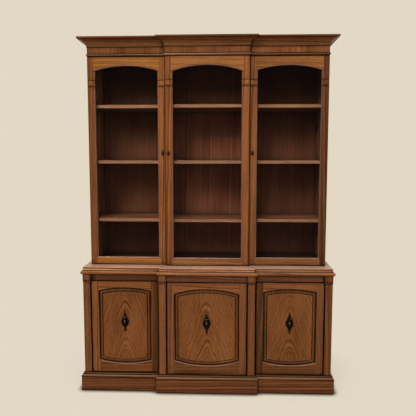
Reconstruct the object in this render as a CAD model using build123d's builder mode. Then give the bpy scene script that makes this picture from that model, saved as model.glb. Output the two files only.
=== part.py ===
# Breakfront hutch cabinet: a glazed bookcase over a three-door base.
# Millimetres, +Z up, front towards -Y, origin at the centre of the footprint on the floor.
from build123d import *
import os
from math import sqrt

os.makedirs("parts", exist_ok=True)

# Plan sizes. The centre bay stands forward of the side bays in both cases.
base_depth = 388.0          # side bays, pilaster faces to the wall
upper_depth = 310.0         # side bays, door faces to the wall
break_forward = 22.0
plinth_out = 18.0           # plinth beyond the pilaster faces
base_half_width = 733.0
base_break_x = 282.0
upper_half_width = 700.0
upper_break_x = 245.0

# Boards
panel_t = 18.0
back_t = 8.0
door_t = 20.0
plinth_t = 30.0
shelf_t = 19.0
upper_bottom_t = 20.0
counter_t = 20.0
overrun = 120.0             # cutters and long stock run past the work
pick_tol = 0.01             # for picking edges by their place

# Heights of the base, from the floor up
plinth_height = 84.0
plinth_lip_h = 3.0
plinth_shoulder_r = 10.0
plinth_quirk_h = 1.0
plinth_bead_h = 9.0
panel_door_play = 3.0       # above and below a panelled door
panel_door_height = 555.0
frieze_rail_h = 61.0
counter_mould_h = 24.0
capital_h = 36.0
neck_gap = 3.0
neck_h = 7.0
plinth_cap_h = plinth_lip_h + plinth_shoulder_r + plinth_quirk_h + plinth_bead_h + plinth_quirk_h
base_floor = plinth_height + plinth_cap_h
panel_door_bottom = base_floor + panel_door_play
panel_door_top = panel_door_bottom + panel_door_height
frieze_rail_bottom = panel_door_top + panel_door_play
counter_bottom = frieze_rail_bottom + frieze_rail_h
counter_height = counter_bottom + counter_t
counter_mould_bottom = counter_bottom - counter_mould_h
capital_bottom = counter_mould_bottom - capital_h
neck_top = capital_bottom - neck_gap
pilaster_neck = neck_top - neck_h

# Heights of the upper case and its cornice
glass_door_play = 3.0       # above and below a glazed door
glass_door_height = 1218.0
astragal_h = 14.0
frieze_h = 38.0
cove_lip_h = 4.0
cove_radius = 36.0
cove_fillet_h = 3.0
cap_t = 11.0
upper_floor = counter_height + upper_bottom_t
glass_door_bottom = counter_height + glass_door_play
glass_door_top = glass_door_bottom + glass_door_height
upper_ceiling = glass_door_top + glass_door_play
frieze_bottom = upper_ceiling + astragal_h
cove_bottom = frieze_bottom + frieze_h
cap_bottom = cove_bottom + cove_lip_h + cove_radius + cove_fillet_h
total_height = cap_bottom + cap_t

# Upper doors
glass_door_gap = 3.0        # between neighbouring doors
stile_face = 34.0
sight_w = 10.0              # width of the moulded inner edge
sight_drop = 1.5            # the moulded edge lies this far behind the face
sight_round = 5.0
glass_t = 3.0
bead_t = 6.0
rabbet_w = 8.0
glass_play = 0.5
bead_shy = 1.0              # bead stops short of the sight edge
arch_radius = 630.0
top_rail_face = 41.0        # at mid width
glass_over_crown = 6.0
bottom_rail_face = 33.0
collar_drop = 133.0         # door top to the collar on the stile
collar_h = 26.0
collar_bead_gap = 3.0
collar_bead_h = 6.0
collar_inset = 2.0
collar_proud = 2.5
collar_bead_proud = 3.5
collar_round = 1.2
knob_height_share = 0.546
knob_rose_half = (8.0, 14.0)
knob_rose_t = 1.8
knob_rose_round = 0.9
knob_neck_r = 3.0
knob_neck_y = 7.0
knob_head_r = 6.8
knob_out = 18.0
front_layer = door_t - bead_t - glass_t
arch_crown_z = glass_door_top - top_rail_face
glass_top_z = arch_crown_z + glass_over_crown
collar_top = glass_door_top - collar_drop
collar_bottom = collar_top - collar_h
collar_bead_top = collar_bottom - collar_bead_gap
collar_bead_bottom = collar_bead_top - collar_bead_h
knob_z = glass_door_bottom + glass_door_height * knob_height_share

# Glazed doors turn on hidden pins; a door's rear corner swings clear of the case front
glass_pivot_in = 5.5        # axis in from the door's edge
glass_pivot_back = 5.0      # axis behind the door's face
sweep_play = 0.5
pivot_rear = door_t - glass_pivot_back
door_gap = sqrt(glass_pivot_in * glass_pivot_in + pivot_rear * pivot_rear) - pivot_rear + sweep_play

# Lower doors
panel_door_set = 2.0        # door face behind the pilaster face
pilaster_w = 42.0
pilaster_gap = 8.0          # pilaster to door
frame_w = 41.0
panel_top_rail = 40.0       # at mid width
panel_bottom_rail = 53.0
frame_bevel = 2.5
groove_depth = 8.0
groove_play = 0.3
groove_wall = 3.0           # wood behind the groove
tongue_t = 8.0
ground_t = 1.0
band_inset = 8.0
band_w = 13.0
band_rise = 3.5
band_round = 3.0
quirk_w = 3.5
field_rise = 4.5
field_round = 1.5
tongue_back = door_t - groove_wall
tongue_front = tongue_back - tongue_t
quirk_face = tongue_front - ground_t
band_face = quirk_face - band_rise
field_face = quirk_face - field_rise
recess_bottom_z = panel_door_bottom + panel_bottom_rail
recess_top_z = panel_door_top - panel_top_rail

# Shelves lie on pins in the walls
shelf_height_shares = (0.2125, 0.5015, 0.773)
base_shelf_height_share = 0.488
shelf_set = 14.0            # shelf front behind the case front
base_shelf_set = 40.0
shelf_end_gap = 1.0
shelf_rear_gap = 2.0
shelf_round = 1.5
pin_r = 2.5
pin_in = 8.0
pin_out = 8.0
pin_fit = 0.05
pin_set = 45.0              # pins in from the shelf front and from the back
shelf_tops = [upper_floor + share * (upper_ceiling - upper_floor) for share in shelf_height_shares]
base_shelf_top = base_floor + base_shelf_height_share * (counter_mould_bottom - base_floor)

# Pivots
pivot_r = 2.5
pivot_fit = 0.05
pivot_plate_t = 1.5

# Depths of the faces: index 0 is a side bay, index 1 the centre bay
rear_y = (base_depth + break_forward + plinth_out) / 2
back_face = rear_y - back_t
base_y = rear_y - base_depth
upper_y = rear_y - upper_depth
base_face = (base_y, base_y - break_forward)
upper_face = (upper_y, upper_y - break_forward)
panel_door_face = tuple(y + panel_door_set for y in base_face)
base_front = tuple(y + door_t + door_gap for y in panel_door_face)
upper_front = tuple(y + door_t + door_gap for y in upper_face)


def keep(shape, label):
    """Name a finished node and write its file."""
    shape.label = label
    export_step(shape, f"parts/{label}.step")


def board(x, y, z, mode=Mode.ADD):
    """A rectangular board between two limits on each axis."""
    with Locations((x[0], y[0], z[0])):
        Box(x[1] - x[0], y[1] - y[0], z[1] - z[0], align=(Align.MIN, Align.MIN, Align.MIN), mode=mode)


def breakfront_path(half_width, break_x, faces):
    """The plan line of a case from its left rear corner round the front to its right rear corner."""
    left = [(-half_width, rear_y), (-half_width, faces[0]), (-break_x, faces[0]), (-break_x, faces[1])]
    return left + [(-x, y) for x, y in reversed(left)]


def mitre(path, i):
    """The direction in which a moulding's outer edge leaves corner i, for one unit of offset."""
    normals = []
    for a, b in ((i - 1, i), (i, i + 1)):
        if a >= 0 and b < len(path):
            dx, dy = path[b][0] - path[a][0], path[b][1] - path[a][1]
            length = sqrt(dx * dx + dy * dy)
            normals.append((dy / length, -dx / length))
    return sum(n[0] for n in normals), sum(n[1] for n in normals)


def mitred_lengths(path, profile, low, high, inner, outer):
    """Straight lengths of one moulding round a plan path, cut to meet at mitres.
    profile(plane) returns the moulding's section as a sketch, offset outwards by z."""
    lengths = []
    for i in range(len(path) - 1):
        (x0, y0), (x1, y1) = path[i], path[i + 1]
        span = sqrt((x1 - x0) ** 2 + (y1 - y0) ** 2)
        run = ((x1 - x0) / span, (y1 - y0) / span)
        (ax, ay), (bx, by) = mitre(path, i), mitre(path, i + 1)
        corners = [
            (x0 + ax * inner, y0 + ay * inner),
            (x1 + bx * inner, y1 + by * inner),
            (x1 + bx * outer, y1 + by * outer),
            (x0 + ax * outer, y0 + ay * outer),
        ]
        section_plane = Plane(
            origin=(x1 + run[0] * overrun, y1 + run[1] * overrun, 0),
            x_dir=(run[1], -run[0], 0),
            z_dir=(-run[0], -run[1], 0),
        )
        stock = extrude(profile(section_plane), amount=span + overrun + overrun)
        with BuildPart() as length:
            with BuildSketch(Plane.XY.offset(low)):
                with BuildLine():
                    Polyline(*corners, close=True)
                make_face()
            extrude(amount=high - low)
            add(stock, mode=Mode.INTERSECT)
        lengths.append(length.part.solid())
    return lengths


def section(plane, *edges):
    """A moulding's section from its edges: ("arc", start, middle, end) or ("lines", point, point, ...)."""
    with BuildSketch(plane) as drawn:
        with BuildLine():
            for form, *points in edges:
                if form == "arc":
                    ThreePointArc(*points)
                else:
                    Polyline(*points)
        make_face()
    return drawn.sketch


def mitre_node(label, path, profile, low, high, inner, outer):
    """One node of mitred lengths, each length its own solid."""
    keep(Compound(mitred_lengths(path, profile, low, high, inner, outer)), label)


def outline(path, offset):
    """The plan path moved outwards by one offset, its rear ends kept at the wall."""
    points = []
    for i, (x, y) in enumerate(path):
        mx, my = mitre(path, i)
        points.append((x + mx * offset, y if i in (0, len(path) - 1) else y + my * offset))
    return points


def side_span(side, a, b):
    """The x limits of something that lies between a and b from the middle, on one side."""
    return tuple(sorted((side * a, side * b)))


def facing(y):
    """An upright sketch plane at one depth, looking out of the front."""
    return Plane.XZ.offset(-y)


base_path = breakfront_path(base_half_width, base_break_x, base_face)
upper_path = breakfront_path(upper_half_width, upper_break_x, upper_face)

# Plinth boards stand on the floor, mitred round the front and sides, with one board at the rear.
plinth_reveal = 1.0
plinth_outer = plinth_out - plinth_reveal
plinth_inner = plinth_outer - plinth_t


def plinth_board_section(plane):
    low, high = (plinth_inner, 0), (plinth_outer, plinth_height)
    return section(plane, ("lines", low, (high[0], 0), high, (low[0], high[1]), low))


plinth_lengths = mitred_lengths(
    base_path, plinth_board_section, 0, plinth_height, plinth_inner, plinth_outer
)
with BuildPart() as plinth_rear:
    board(
        (-base_half_width - plinth_inner, base_half_width + plinth_inner),
        (rear_y - plinth_t, rear_y),
        (0, plinth_height),
    )
keep(Compound(plinth_lengths + [plinth_rear.part.solid()]), "plinth_boards")

# Plinth cap moulding: a bead over a rounded shoulder.
plinth_quirk_in = 12.0
plinth_bead_proud = 3.5
arc_middle_share = sqrt(0.5)


def plinth_cap_section(plane):
    lip = (plinth_out, plinth_height + plinth_lip_h)
    centre_x = plinth_out - plinth_shoulder_r
    mid_rise = plinth_shoulder_r * arc_middle_share
    shoulder = (centre_x, lip[1] + plinth_shoulder_r)
    quirk = plinth_out - plinth_quirk_in
    bead_low = shoulder[1] + plinth_quirk_h
    bead_high = bead_low + plinth_bead_h
    bead_nose = (quirk + plinth_bead_proud, (bead_low + bead_high) / 2)
    return section(
        plane,
        ("lines", (0, plinth_height), (plinth_out, plinth_height), lip),
        ("arc", lip, (centre_x + mid_rise, lip[1] + mid_rise), shoulder),
        ("lines", shoulder, (quirk, shoulder[1]), (quirk, bead_low)),
        ("arc", (quirk, bead_low), bead_nose, (quirk, bead_high)),
        ("lines", (quirk, bead_high), (quirk, base_floor), (0, base_floor), (0, plinth_height)),
    )


mitre_node("plinth_moulding", base_path, plinth_cap_section, plinth_height, base_floor, 0, plinth_out)

# Bottom board of the base, stepped with the break
with BuildPart() as base_bottom:
    with BuildSketch(Plane.XY.offset(plinth_height)):
        with BuildLine():
            Polyline(*base_path, close=True)
        make_face()
    extrude(amount=base_floor - plinth_height)
keep(base_bottom.part, "base_bottom")

# Shelf layout: each bay is (name, wall to wall limits, depth index)
base_divider_x = (base_break_x + base_break_x - pilaster_w) / 2
base_bays = (
    ("left", (panel_t - base_half_width, -base_divider_x - panel_t / 2), 0),
    ("centre", (panel_t / 2 - base_divider_x, base_divider_x - panel_t / 2), 1),
    ("right", (base_divider_x + panel_t / 2, base_half_width - panel_t), 0),
)
upper_bays = (
    ("left", (panel_t - upper_half_width, -upper_break_x - panel_t / 2), 0),
    ("centre", (panel_t / 2 - upper_break_x, upper_break_x - panel_t / 2), 1),
    ("right", (upper_break_x + panel_t / 2, upper_half_width - panel_t), 0),
)


def pin_spots(bays, fronts, front_set, tops):
    """Wall positions of the shelf pins: (x, y, z, direction out of the wall)."""
    spots = []
    for _, (x_low, x_high), depth in bays:
        shelf_front = fronts[depth] + front_set
        for top in tops:
            z = top - shelf_t - pin_r
            for y in (shelf_front + pin_set, back_face - pin_set):
                spots.append((x_low, y, z, 1))
                spots.append((x_high, y, z, -1))
    return spots


base_pins = pin_spots(base_bays, (base_front[0], base_front[0]), base_shelf_set, (base_shelf_top,))
upper_pins = pin_spots(upper_bays, upper_front, shelf_set, shelf_tops)


def pin_cylinder(spot, inward, outward, radius, mode=Mode.ADD):
    """A cylinder along x through a wall face, so deep into the wall and so far out of it."""
    x, y, z, way = spot
    start = Plane(origin=(x - way * inward, y, z), x_dir=(0, 1, 0), z_dir=(way, 0, 0))
    with Locations(start):
        Cylinder(radius, inward + outward, align=(Align.CENTER, Align.CENTER, Align.MIN), mode=mode)


with BuildPart() as shelf_pins:
    for spot in base_pins + upper_pins:
        pin_cylinder(spot, pin_in, pin_out, pin_r)
keep(shelf_pins.part, "shelf_pins")

# Side panels and dividers of the base
with BuildPart() as base_uprights:
    for side in (-1, 1):
        edge = side_span(side, base_half_width - panel_t, base_half_width)
        board(edge, (base_front[0], rear_y), (base_floor, counter_bottom))
        middle = side_span(side, base_divider_x - panel_t / 2, base_divider_x + panel_t / 2)
        board(middle, (base_front[0], back_face), (base_floor, counter_mould_bottom))
    for spot in base_pins:
        pin_cylinder(spot, pin_in, pin_out, pin_r + pin_fit, mode=Mode.SUBTRACT)
keep(base_uprights.part, "base_uprights")

base_inside = base_half_width - panel_t
with BuildPart() as base_back:
    board((-base_inside, base_inside), (back_face, rear_y), (base_floor, counter_mould_bottom))
keep(base_back.part, "base_back")

# Top board of the base, stepped to the rear faces of the frieze rails
with BuildPart() as base_top:
    with BuildSketch(Plane.XY.offset(counter_mould_bottom)):
        with BuildLine():
            Polyline(*breakfront_path(base_inside, base_break_x - pilaster_w, base_front), close=True)
        make_face()
    extrude(amount=counter_bottom - counter_mould_bottom)
keep(base_top.part, "base_top")

# Frieze rails over the lower doors
with BuildPart() as base_frieze_rails:
    for side in (-1, 1):
        bay = side_span(side, base_break_x, base_half_width - pilaster_w)
        board(bay, (base_face[0], base_front[0]), (frieze_rail_bottom, counter_bottom))
    centre_half = base_break_x - pilaster_w
    board((-centre_half, centre_half), (base_face[1], base_front[1]), (frieze_rail_bottom, counter_bottom))
keep(base_frieze_rails.part, "base_frieze_rails")

# Pilaster shafts and capitals. Each is (inner x, outer x, face, depth of the side return).
pilaster_places = (
    (base_break_x - pilaster_w, base_break_x, base_face[1], base_face[0]),
    (base_half_width - pilaster_w, base_half_width, base_face[0], base_front[0]),
)
shaft_round = 2.0
neck_proud = 2.5
neck_round = 2.2
capital_proud = 3.0
capital_side = 1.5
capital_round = 0.8

with BuildPart() as pilasters:
    for side in (-1, 1):
        for inner_x, outer_x, face, _ in pilaster_places:
            board(side_span(side, inner_x, outer_x), (face, base_front[0]), (base_floor, pilaster_neck))
    shaft_arrises = [
        e for e in pilasters.edges().filter_by(Axis.Z)
        if min(abs(e.center().Y - f) for f in base_face) < pick_tol
    ]
    fillet(shaft_arrises, shaft_round)
keep(pilasters.part, "pilasters")


def capital(side, inner_x, outer_x, face, return_y):
    """The neck bead, capital block and head of one pilaster."""
    with BuildPart() as piece:
        board(side_span(side, inner_x, outer_x), (face, base_front[0]), (pilaster_neck, counter_bottom))
        for proud, low, high in (
            (neck_proud, pilaster_neck, neck_top),
            (capital_proud, capital_bottom, counter_mould_bottom),
        ):
            front = side_span(side, inner_x - capital_side, outer_x + capital_side)
            board(front, (face - proud, face), (low, high))
            board(side_span(side, outer_x, outer_x + capital_side), (face, return_y), (low, high))
        bead_edges = [
            e for e in piece.edges().filter_by(Axis.X)
            if abs(e.center().Y - face + neck_proud) < pick_tol
        ]
        fillet(bead_edges, neck_round)
    return piece.part.solid()


keep(
    Compound([capital(side, *place) for side in (-1, 1) for place in pilaster_places]),
    "pilaster_capitals",
)

# Shelves behind the lower doors
with BuildPart() as base_shelves:
    for _, (x_low, x_high), _ in base_bays:
        board(
            (x_low + shelf_end_gap, x_high - shelf_end_gap),
            (base_front[0] + base_shelf_set, back_face - shelf_rear_gap),
            (base_shelf_top - shelf_t, base_shelf_top),
        )
keep(base_shelves.part, "base_shelves")

# Counter board with a rounded top edge
counter_round = 6.5
with BuildPart() as counter_top:
    with BuildSketch(Plane.XY.offset(counter_bottom)):
        with BuildLine():
            Polyline(*base_path, close=True)
        make_face()
    extrude(amount=counter_height - counter_bottom)
    top_face = counter_top.faces().sort_by(Axis.Z)[-1]
    rim = [e for e in top_face.edges() if abs(e.center().Y - rear_y) > pick_tol]
    fillet(rim, counter_round)
keep(counter_top.part, "counter_top")

# Round moulding under the counter's edge
counter_mould_out = 12.0
counter_mould_root = 3.0
counter_mould_listel = 2.0
counter_mould_top = counter_bottom - counter_mould_listel


def counter_mould_section(plane):
    low, high = (counter_mould_root, counter_mould_bottom), (counter_mould_root, counter_mould_top)
    nose = (counter_mould_out, (counter_mould_bottom + counter_mould_top) / 2)
    return section(
        plane,
        ("lines", (0, counter_mould_bottom), low),
        ("arc", low, nose, high),
        ("lines", high, (counter_mould_root, counter_bottom)),
        ("lines", (counter_mould_root, counter_bottom), (0, counter_bottom), (0, counter_mould_bottom)),
    )


mitre_node(
    "counter_moulding", base_path, counter_mould_section,
    counter_mould_bottom, counter_bottom, 0, counter_mould_out,
)

# Pivot plates of the glazed doors: pads with a pin, the lower ones with a tongue under the upright
pad_reach = 8.0
pad_set = 1.0               # pad behind the door's face and in front of its back
tongue_half = 2.0
tongue_rear = 60.0
glass_pin_length = 12.0
glass_hole_play = 0.7
glass_hole_spare = 2.0

glass_doors = (
    ("left", -upper_half_width, -upper_break_x - glass_door_gap / 2, 0, -1),
    ("centre", glass_door_gap / 2 - upper_break_x, upper_break_x - glass_door_gap / 2, 1, 1),
    ("right", upper_break_x + glass_door_gap / 2, upper_half_width, 0, 1),
)


def glass_axis(door):
    """Plan position of a glazed door's hinge axis and the side it is on."""
    _, x_low, x_high, depth, hinge = door
    edge = x_high if hinge > 0 else x_low
    return edge - hinge * glass_pivot_in, upper_face[depth] + glass_pivot_back, hinge


def pad(door, low, high, mode=Mode.ADD):
    """The flat pad round a glazed door's axis."""
    x, _, hinge = glass_axis(door)
    face = upper_face[door[3]]
    across = tuple(sorted((x + hinge * glass_pivot_in, x - hinge * pad_reach)))
    board(across, (face + pad_set, face + door_t - pad_set), (low, high), mode=mode)


def rod(x, y, radius, low, high, mode=Mode.ADD):
    """An upright cylinder."""
    with Locations((x, y, low)):
        Cylinder(radius, high - low, align=(Align.CENTER, Align.CENTER, Align.MIN), mode=mode)


with BuildPart() as upper_pivot_plates:
    for door in glass_doors:
        x, y, _ = glass_axis(door)
        face = upper_face[door[3]]
        pad(door, counter_height, counter_height + pivot_plate_t)
        board(
            (x - tongue_half, x + tongue_half),
            (face + pad_set, face + tongue_rear),
            (counter_height, counter_height + pivot_plate_t),
        )
        rod(x, y, pivot_r, counter_height, glass_door_bottom + glass_pin_length)
        pad(door, upper_ceiling - pivot_plate_t, upper_ceiling)
        rod(x, y, pivot_r, glass_door_top - glass_pin_length, upper_ceiling)
keep(upper_pivot_plates.part, "upper_pivot_plates")

# Side panels, dividers and their front lippings of the upper case
upper_inside = upper_half_width - panel_t
lipping_shy = 0.5
lipping_half = upper_break_x - lipping_shy
upper_head = upper_ceiling + panel_t
with BuildPart() as upper_uprights:
    for side in (-1, 1):
        board(
            side_span(side, upper_inside, upper_half_width),
            (upper_front[0], rear_y),
            (counter_height, cap_bottom),
        )
        middle = side_span(side, upper_break_x - panel_t / 2, upper_break_x + panel_t / 2)
        board(middle, (upper_front[0], back_face), (counter_height, upper_head))
    for door in glass_doors:
        x, y, _ = glass_axis(door)
        board(
            (x - tongue_half, x + tongue_half),
            (upper_front[0], upper_face[door[3]] + tongue_rear),
            (counter_height, counter_height + pivot_plate_t),
            mode=Mode.SUBTRACT,
        )
    for spot in upper_pins:
        pin_cylinder(spot, pin_in, pin_out, pin_r + pin_fit, mode=Mode.SUBTRACT)


def lipping(side):
    """The strip that brings a divider forward to the centre bay's front."""
    with BuildPart() as strip:
        board(
            side_span(side, upper_break_x - panel_t / 2, lipping_half),
            (upper_front[1], upper_front[0]),
            (counter_height, upper_ceiling),
        )
        for door in glass_doors:
            x, y, _ = glass_axis(door)
            board(
                (x - tongue_half, x + tongue_half),
                (upper_face[door[3]], upper_front[0]),
                (counter_height, counter_height + pivot_plate_t),
                mode=Mode.SUBTRACT,
            )
    return strip.part.solid()


keep(Compound(list(upper_uprights.part.solids()) + [lipping(-1), lipping(1)]), "upper_uprights")

with BuildPart() as upper_bottoms:
    for _, bay, depth in upper_bays:
        board(bay, (upper_front[depth], back_face), (counter_height, upper_floor))
keep(upper_bottoms.part, "upper_bottoms")

# Top boards, the centre one reaching forward between the frieze's returns
frieze_t = door_t + door_gap
return_inside = upper_break_x - frieze_t
with BuildPart() as upper_tops:
    for _, bay, _ in upper_bays:
        board(bay, (upper_front[0], back_face), (upper_ceiling, upper_head))
    board((-return_inside, return_inside), (upper_front[1], upper_front[0]), (upper_ceiling, upper_head))
keep(upper_tops.part, "upper_tops")

with BuildPart() as upper_back:
    board((-upper_inside, upper_inside), (back_face, rear_y), (counter_height, cap_bottom))
keep(upper_back.part, "upper_back")

# Shelves of the upper case
with BuildPart() as upper_shelves:
    for _, (x_low, x_high), depth in upper_bays:
        for top in shelf_tops:
            board(
                (x_low + shelf_end_gap, x_high - shelf_end_gap),
                (upper_front[depth] + shelf_set, back_face - shelf_rear_gap),
                (top - shelf_t, top),
            )
    front_arrises = [
        e for e in upper_shelves.edges().filter_by(Axis.X)
        if min(abs(e.center().Y - f - shelf_set) for f in upper_front) < pick_tol
    ]
    fillet(front_arrises, shelf_round)
keep(upper_shelves.part, "upper_shelves")

# Cornice: frieze boards, astragal, cove and cap, all round the same plan line
def frieze_section(plane):
    low, high = (-frieze_t, upper_ceiling), (0, cap_bottom)
    return section(plane, ("lines", low, (0, low[1]), high, (low[0], high[1]), low))


mitre_node(
    "cornice_frieze", upper_path[1:-1], frieze_section, upper_ceiling, cap_bottom, -frieze_t, 0
)

astragal_out = 5.0
astragal_root = 1.0
astragal_listel = 1.0


def astragal_section(plane):
    low = (astragal_root, upper_ceiling + astragal_listel)
    high = (astragal_root, frieze_bottom - astragal_listel)
    nose = (astragal_out, (upper_ceiling + frieze_bottom) / 2)
    return section(
        plane,
        ("lines", (0, upper_ceiling), (astragal_root, upper_ceiling), low),
        ("arc", low, nose, high),
        ("lines", high, (astragal_root, frieze_bottom), (0, frieze_bottom), (0, upper_ceiling)),
    )


mitre_node("cornice_astragal", upper_path, astragal_section, upper_ceiling, frieze_bottom, 0, astragal_out)

cove_lip = 3.0
cove_fillet = 5.0
cap_nosing = 4.0
cap_round = 2.0
cove_top_out = cove_lip + cove_radius + cove_fillet
cap_out = cove_top_out + cap_nosing


def cove_section(plane):
    foot = (cove_lip, cove_bottom + cove_lip_h)
    centre = (cove_lip + cove_radius, foot[1])
    crest = (centre[0], foot[1] + cove_radius)
    mid_rise = cove_radius * arc_middle_share
    return section(
        plane,
        ("lines", (0, cove_bottom), (cove_lip, cove_bottom), foot),
        ("arc", foot, (centre[0] - mid_rise, centre[1] + mid_rise), crest),
        ("lines", crest, (cove_top_out, crest[1]), (cove_top_out, cap_bottom)),
        ("lines", (cove_top_out, cap_bottom), (0, cap_bottom), (0, cove_bottom)),
    )


mitre_node("cornice_cove", upper_path, cove_section, cove_bottom, cap_bottom, 0, cove_top_out)

with BuildPart() as cornice_cap:
    with BuildSketch(Plane.XY.offset(cap_bottom)):
        with BuildLine():
            Polyline(*outline(upper_path, cap_out), close=True)
        make_face()
    extrude(amount=total_height - cap_bottom)
    cap_rims = [
        e for f in cornice_cap.faces().filter_by(Axis.Z) for e in f.edges()
        if abs(e.center().Y - rear_y) > pick_tol
    ]
    fillet(cap_rims, cap_round)
keep(cornice_cap.part, "cornice_cap")

# Glazed doors
glass_rail_end = stile_face + sight_w
arch_centre_z = arch_crown_z - arch_radius
sight_radius = arch_radius - sight_w
bottom_face_z = glass_door_bottom + bottom_rail_face
bottom_sight_z = bottom_face_z + sight_w
rabbet_x = glass_rail_end - rabbet_w
rabbet_low = bottom_sight_z - rabbet_w


def across(edge, side, a, b):
    """The x limits between two distances in from a door's edge, the door lying on the given side."""
    return tuple(sorted((edge - side * a, edge - side * b)))


def arch_rise(radius, half):
    """How far an arc of the given half width rises."""
    return radius - sqrt(radius * radius - half * half)


def glazed_door(door):
    """Make one glazed door: stiles, rails, glass, beads, knob and pivot sockets."""
    name, x_low, x_high, depth, hinge = door
    face = upper_face[depth]
    middle = (x_low + x_high) / 2
    half = (x_high - x_low) / 2
    lip_y = face + sight_drop
    split_y = face + front_layer
    rear = face + door_t
    axis_x, axis_y, _ = glass_axis(door)

    with BuildPart() as arch_cutter:
        with BuildSketch(facing(lip_y)):
            with Locations((middle, arch_centre_z)):
                Circle(sight_radius)
        extrude(amount=-front_layer)

    def stile(side):
        edge = middle + side * half
        with BuildPart() as lip:
            board(
                across(edge, side, stile_face, glass_rail_end),
                (lip_y, split_y),
                (bottom_sight_z, arch_crown_z),
            )
            add(arch_cutter.part, mode=Mode.INTERSECT)
            inner = edge - side * glass_rail_end
            arris = [
                e for e in lip.edges().filter_by(Axis.Z)
                if abs(e.center().X - inner) < pick_tol and abs(e.center().Y - lip_y) < pick_tol
            ]
            fillet(arris, sight_round)
        door_levels = (glass_door_bottom, glass_door_top)
        with BuildPart() as whole:
            board(across(edge, side, 0, stile_face), (face, rear), door_levels)
            board(across(edge, side, stile_face, rabbet_x), (split_y, rear), door_levels)
            add(lip.part)
            collar_x = across(edge, side, collar_inset, stile_face - collar_inset)
            board(collar_x, (face - collar_proud, face), (collar_bottom, collar_top))
            board(collar_x, (face - collar_bead_proud, face), (collar_bead_bottom, collar_bead_top))
            collar_arrises = [e for e in whole.edges() if e.center().Y < face - collar_proud + pick_tol]
            fillet(collar_arrises, collar_round)
            if side == hinge:
                for low, high in (
                    (glass_door_bottom, glass_door_bottom + pivot_plate_t),
                    (glass_door_top - pivot_plate_t, glass_door_top),
                ):
                    pad(door, low, high, mode=Mode.SUBTRACT)
                well = pivot_r + glass_hole_play
                depth_of_well = glass_pin_length + glass_hole_spare
                for low, high in (
                    (glass_door_bottom, glass_door_bottom + depth_of_well),
                    (glass_door_top - depth_of_well, glass_door_top),
                ):
                    rod(axis_x, axis_y, well, low, high, mode=Mode.SUBTRACT)
        return whole.part.solid()

    keep(Compound([stile(-1), stile(1)]), f"{name}_glass_door_stiles")

    between_stiles = (middle - half + stile_face, middle + half - stile_face)
    between_rabbets = (middle - half + rabbet_x, middle + half - rabbet_x)
    rail_w = between_stiles[1] - between_stiles[0]
    rise = arch_rise(arch_radius, half)
    arch_foot_z = arch_crown_z - rise
    with BuildPart() as top_rail:
        with BuildSketch(facing(split_y)):
            with BuildLine():
                Polyline(
                    (between_stiles[0], arch_foot_z),
                    (between_stiles[1], arch_foot_z),
                    (between_stiles[1], glass_door_top),
                    (between_stiles[0], glass_door_top),
                    close=True,
                )
            make_face()
            with Locations((middle, arch_centre_z)):
                Circle(arch_radius, mode=Mode.SUBTRACT)
        extrude(amount=front_layer)
        with BuildSketch(facing(split_y)):
            with Locations((middle, arch_centre_z)):
                Circle(arch_radius)
                Circle(sight_radius, mode=Mode.SUBTRACT)
            with Locations((middle, arch_crown_z)):
                Rectangle(rail_w, rise + rise, mode=Mode.INTERSECT)
        extrude(amount=front_layer - sight_drop)
        board(between_rabbets, (split_y, rear), (glass_top_z, glass_door_top))
        sight_arris = [
            e for e in top_rail.edges().filter_by(GeomType.CIRCLE)
            if abs(e.radius - sight_radius) < pick_tol and abs(e.center().Y - lip_y) < pick_tol
        ]
        fillet(sight_arris, sight_round)
    with BuildPart() as bottom_rail:
        board(between_stiles, (face, split_y), (glass_door_bottom, bottom_face_z))
        board(between_stiles, (lip_y, split_y), (bottom_face_z, bottom_sight_z))
        board(between_rabbets, (split_y, rear), (glass_door_bottom, rabbet_low))
        sill = [
            e for e in bottom_rail.edges().filter_by(Axis.X)
            if abs(e.center().Z - bottom_sight_z) < pick_tol and abs(e.center().Y - lip_y) < pick_tol
        ]
        fillet(sill, sight_round)
    keep(Compound([top_rail.part.solid(), bottom_rail.part.solid()]), f"{name}_glass_door_rails")

    glass_rear = split_y + glass_t
    with BuildPart() as glass:
        board(
            (between_rabbets[0] + glass_play, between_rabbets[1] - glass_play),
            (split_y, glass_rear),
            (rabbet_low + glass_play, glass_top_z - glass_play),
        )
    keep(glass.part, f"{name}_glass_door_glass")

    bead_w = rabbet_w - bead_shy
    beads = []
    for side in (-1, 1):
        with BuildPart() as bead:
            bead_x = across(middle + side * half, side, rabbet_x, rabbet_x + bead_w)
            board(bead_x, (glass_rear, rear), (rabbet_low, glass_top_z))
        beads.append(bead.part.solid())
    for low in (rabbet_low, glass_top_z - bead_w):
        with BuildPart() as bead:
            board(
                (between_rabbets[0] + bead_w, between_rabbets[1] - bead_w),
                (glass_rear, rear),
                (low, low + bead_w),
            )
        beads.append(bead.part.solid())
    keep(Compound(beads), f"{name}_glass_door_beads")

    knob_x = middle - hinge * (half - stile_face / 2)
    with BuildPart() as knob:
        with BuildSketch(facing(face)):
            with Locations((knob_x, knob_z)):
                Ellipse(*knob_rose_half)
        extrude(amount=knob_rose_t)
        rim = knob.faces().sort_by(Axis.Y)[0].edges()
        fillet(rim, knob_rose_round)
        with BuildSketch(Plane(origin=(knob_x, face, knob_z), x_dir=(1, 0, 0), z_dir=(0, 0, 1))):
            with BuildLine():
                Polyline((0, 0), (knob_neck_r, 0), (knob_neck_r, -knob_neck_y))
                Spline(
                    (knob_neck_r, -knob_neck_y),
                    (knob_head_r, -(knob_neck_y + knob_out) / 2),
                    (0, -knob_out),
                    tangents=((1, -1), (-1, 0)),
                )
                Line((0, -knob_out), (0, 0))
            make_face()
        revolve(axis=Axis((knob_x, face, knob_z), (0, 1, 0)))
    keep(knob.part, f"{name}_glass_door_knob")

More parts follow.
